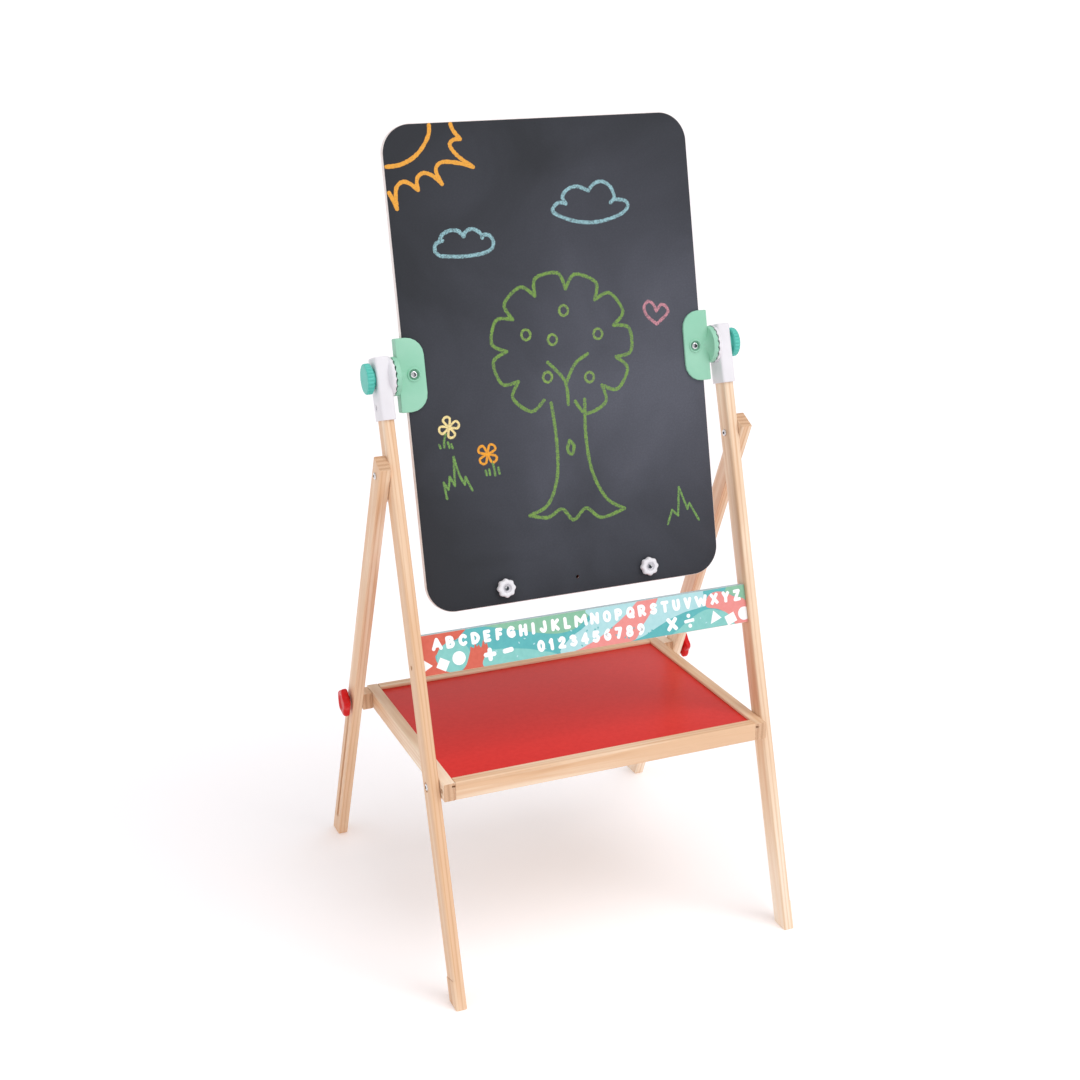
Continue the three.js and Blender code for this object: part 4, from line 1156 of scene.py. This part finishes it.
# The print's coloured shapes from the back to the front, round the strip's middle
REGIONS = (
    ("coral", "-250,30 -183.6,30 -186,22 -196,15 -208,16 -214,4 -226,-2 -222,-16 -205,-30 -250,-30"),
    ("aqua", ellipse(-201, -7, 24, 21)),
    ("coral", "-190,-30 -184,-20 -177,-3 -176,3 -171,0 -169,10 -167,1 -164,4 -161,-1 -157,9 -155,2 "
     "-151.9,3 -154,-30"),
    ("mint", "-148,30 -130,21 -104,14 -76,6 -48.9,1 -26,3 -8,12 2,22 6,30"),
    ("aqua", "-153,-8 -140,-6.5 -117.7,-8.9 -84,-16 -54.2,-30 -154,-30"),
    ("sky", "10,30 2,14 -12,2 -34,-10 -40,-30 86,-30 110,-14 140,0 186,8 187,30"),
    ("pink", "-30,-30 -14,-24 8,-16 34,-2 56,12 80,30 106,30 96,12 80,-6 54,-30"),
    ("teal", "52,-30 80,-22 104,-12 132,-2 167,3.2 184,3 178,-8 150,-24 128,-30"),
    ("teal", "181,30 182,14 190,20 206,22 220,20 232,30"),
    ("aqua", "128,-30 136,-20 156,-8 180,0 200,-4 216,-12 230,-30"),
    ("pink", "180,4 184,18 196,23 212,20 226,12 250,4 250,-30 226,-30 214,-12 198,-2"),
    ("mint", "212,21 222,30 250,30 250,2 238,8 228,12"),
)
ROUND_REGION = 30  # a shape with this many points is smooth as it is
SHEET_STEP = 0.02  # how much each shape of ink lies above the last


def glyph(letter, x, z, base, height, turn):
    """A bubble letter's strokes round its middle."""
    half, tall = LETTER["half_stroke"], LETTER["height"]
    width = LETTER["width"] * WIDTHS.get(letter, 1.0)
    spin = Matrix.Rotation(turn, 2)

    def place(point):
        local = spin @ Vector(((point[0] - 0.46) * width, (point[1] - 0.5) * tall))
        return (x + local.x, z + local.y)

    lines = pen(GLYPHS[letter], 100) if letter in GLYPHS else []
    meshes = []
    for i, line in enumerate(lines):
        path = [place(point) for point in line]
        meshes.append(stroke(path, half, PAINT_SECTION, height + 0.015 * i, base))
    for i, loop in enumerate(RINGS.get(letter, [])):
        ring = [place(point) for point in ellipse(*loop, 14)]
        meshes.append(stroke(ring, half * 0.94, PAINT_SECTION, height + 0.015 * i, base, True))
    if letter == "Q":
        tail = [place((0.62, 0.3)), place((0.98, -0.02))]
        meshes.append(stroke(tail, half, PAINT_SECTION, height + 0.03, base))
    return meshes


def spaced(text, first, last):
    """Each sign of a line of text with its middle and a slight tilt, spread between two middles."""
    widths = [WIDTHS.get(sign, 1.0) * LETTER["width"] for sign in text]
    steps = [(a + b) / 2 for a, b in zip(widths, widths[1:])]
    gap = (last - first - sum(steps)) / len(steps)
    x, line = first, []
    for i, sign in enumerate(text):
        line.append((sign, x, 0.05 * math.sin(2.3 * i)))
        x += (steps[i] + gap) if i < len(steps) else 0
    return line


def square(x, z, width, tall, turn):
    corners = [(u * width / 2, v * tall / 2) for u, v in ((-1, -1), (1, -1), (1, 1), (-1, 1))]
    return spun(x, z, turn, corners)


def signs(middle, face, top, low, high):
    """The arithmetic signs and the plain shapes at both ends of the lower row."""
    bars = [  # from x,z to x,z below the strip's middle, half width, steps above the shapes
        (-155.6, -12, -143.6, -12, 3.2, 0), (-149.6, -18, -149.6, -6, 3.2, 1),
        (-128, -11, -118.6, -10, 3.4, 0), (118.4, -19.2, 129.4, -6.0, 3.0, 1),
        (118.4, -6.0, 129.4, -19.2, 3.0, -1), (145, -12.4, 157, -11.4, 2.4, 0),
    ]
    made = []
    for x0, z0, x1, z1, half, lift in bars:
        line = [(x0, middle + z0), (x1, middle + z1)]
        made.append(stroke(line, half, PAINT_SECTION, top + SHEET_STEP * lift, face))
    dots = ((150.4, -4.6, 2.9), (151.6, -19.0, 2.9), (-193.8, -10, 9.4), (238.5, -14, 9.6))
    shapes = [ellipse(x, middle + z, radius, radius) for x, z, radius in dots]
    shapes += [square(-217, middle - 15, 14.5, 14.5, 1.05), square(216.5, middle - 18.5, 16, 14, 0.35)]
    for triangle in pen("-246,-3 -231.5,-14.5 -246,-22 / 184,-21.5 202,-15 190,-3"):
        shapes.append([(x, middle + z) for x, z in triangle])
    return made + [flat(clipped(points, low, high), face, top) for points in shapes]


def printed_strip():
    low, high = extent("alphabet_strip", POST)
    middle = (low.z + high.z) / 2
    strip = bar((low.y, high.y), (low.z, high.z), (low.x, high.x), 0.9, 0.4, "x")
    wood = grained(mirrored(strip), "x", 16)
    for polygon in wood.polygons:
        if polygon.normal.z > 0.6:
            polygon.material_index = 2
    coat = paint_finish("strip_top", (168, 196, 204), (182, 208, 214))
    instead("alphabet_strip", wood, POST, "front_frame", [*TIMBER, coat])
    face = low.y
    corners = (low.x + 0.4, low.z + 0.5), (high.x - 0.4, high.z - 0.5)
    (x0, z0), (x1, z1) = corners
    sheets = {name: [] for name in INKS}
    sheets["teal"].append(flat([(x0, z0), (x1, z0), (x1, z1), (x0, z1)], face, 0.06))
    lift = 0.08
    for name, shape in REGIONS:
        points = pen(shape)[0] if isinstance(shape, str) else shape
        if len(points) < ROUND_REGION:
            points = [tuple(point) for point in smooth_path(points, True, 2.5)[:-1]]
        shape = clipped([(x, z + middle) for x, z in points], *corners)
        sheets[name].append(flat(shape, face, lift))
        lift += SHEET_STEP
    rough = random.Random(11)
    for x in range(-140, 180, 9):
        spot = (x + rough.uniform(-3, 3), middle + rough.uniform(-23, 2))
        tone = "sky" if x < -20 or x > 150 else "teal"
        sheets[tone].append(flat(ellipse(*spot, 1.7, 0.9, 10, rough.uniform(0, 3)), face, lift))
    top = lift + 0.1
    for text, first, last, z in ROWS:
        for letter, x, tilt in spaced(text, first, last):
            sheets["white"] += glyph(letter, x, middle + z, face, top, tilt)
    sheets["white"] += signs(middle, face, top, *corners)
    for name, meshes in sheets.items():
        mesh = mirrored(merged(meshes))
        ink = paint_finish(f"print_{name}", *INKS[name], 0.42)
        show(f"strip_print_{name}", mesh, POST, "front_frame", [ink], smooth=False)


# ---- floor, light and camera

SWEEP = [(45.0, 0.0), (49.0, 1.2), (51.0, 6.0)]  # radius and height of the floor's rim, in metres
SWEEP_SIDES = 48
LAMPS = {  # azimuth, elevation, strength, spread
    "key": (32, 62, 1.14, 40),
    "side": (-75, 47, 0.26, 60),
    "sheen": (38, 20, 0.3, 24),
}
VIEW = {"azimuth": -21.503, "elevation": 18.215, "roll": -1.155, "distance_m": 2.3015, "lens": 53.94}
TARGET = (-26.9, -40.0, 560.6)


def floor():
    """A pale floor that sweeps up far away."""
    made = bmesh.new()
    turns = [2 * math.pi * i / SWEEP_SIDES for i in range(SWEEP_SIDES)]
    rows = []
    for radius, height in SWEEP:
        rows.append([made.verts.new((radius * math.cos(t), radius * math.sin(t), height)) for t in turns])
    made.faces.new(rows[0])
    for lower, upper in zip(rows, rows[1:]):
        for i in range(SWEEP_SIDES):
            made.faces.new((lower[i - 1], lower[i], upper[i], upper[i - 1]))
    mesh = mesh_from(made)
    paper = paint_finish("floor", (252, 249, 251), (253, 250, 252), 0.6)
    glow = paper.node_tree.nodes["Principled BSDF"]
    glow.inputs["Emission Color"].default_value = (1.0, 0.95, 0.97, 1.0)
    glow.inputs["Emission Strength"].default_value = 0.13
    mesh.materials.append(paper)
    placed("floor", mesh)


def lights():
    world = bpy.data.worlds.new("studio")
    bpy.context.scene.world = world
    world.use_nodes = True
    background = world.node_tree.nodes["Background"]
    background.inputs["Color"].default_value = (1.0, 1.0, 1.0, 1.0)
    background.inputs["Strength"].default_value = 0.59
    for name, (azimuth, elevation, strength, spread) in LAMPS.items():
        light = bpy.data.lights.new(name, "SUN")
        light.energy = strength
        light.angle = math.radians(spread)
        placed(name, light).rotation_euler = (math.radians(90 - elevation), 0, math.radians(azimuth))


def camera():
    azimuth, elevation, roll = [math.radians(VIEW[name]) for name in ("azimuth", "elevation", "roll")]
    level = math.cos(elevation)
    back = Vector((math.sin(azimuth) * level, -math.cos(azimuth) * level, math.sin(elevation)))
    right = (-back).cross(Vector((0, 0, 1))).normalized()
    up = right.cross(-back)
    c, s = math.cos(roll), math.sin(roll)
    right, up = c * right + s * up, c * up - s * right
    lens = bpy.data.cameras.new("camera")
    lens.lens = VIEW["lens"]
    lens.sensor_width = 36.0
    eye = placed("camera", lens)
    axes = Matrix((right, up, back)).transposed().to_4x4()
    eye.matrix_world = Matrix.Translation(Vector(TARGET) * MM + back * VIEW["distance_m"]) @ axes
    bpy.context.scene.camera = eye
    bpy.context.scene.view_settings.view_transform = "Standard"


front_posts()
rear_legs()
side_rails()
cross_rails()
spacers()
tray_panel()
board_layer("board_core", 0.9, EDGE)
board_layer("chalk_face", 0.25, SLATE)
board_layer("white_face", 0.25, WHITEBOARD)
board_clamps()
post_brackets()
tilt_knobs()
slot_knobs()
paper_clamp_knobs()
paper_clamp_bar()
metal_fittings()
printed_strip()
drawings()
refinish("tilt_bolt", STEEL)
refinish("slot_bolt", STEEL)
refinish("slot_insert", INSERT)
refinish("strip_dowel", PINE_END)
floor()
lights()
camera()
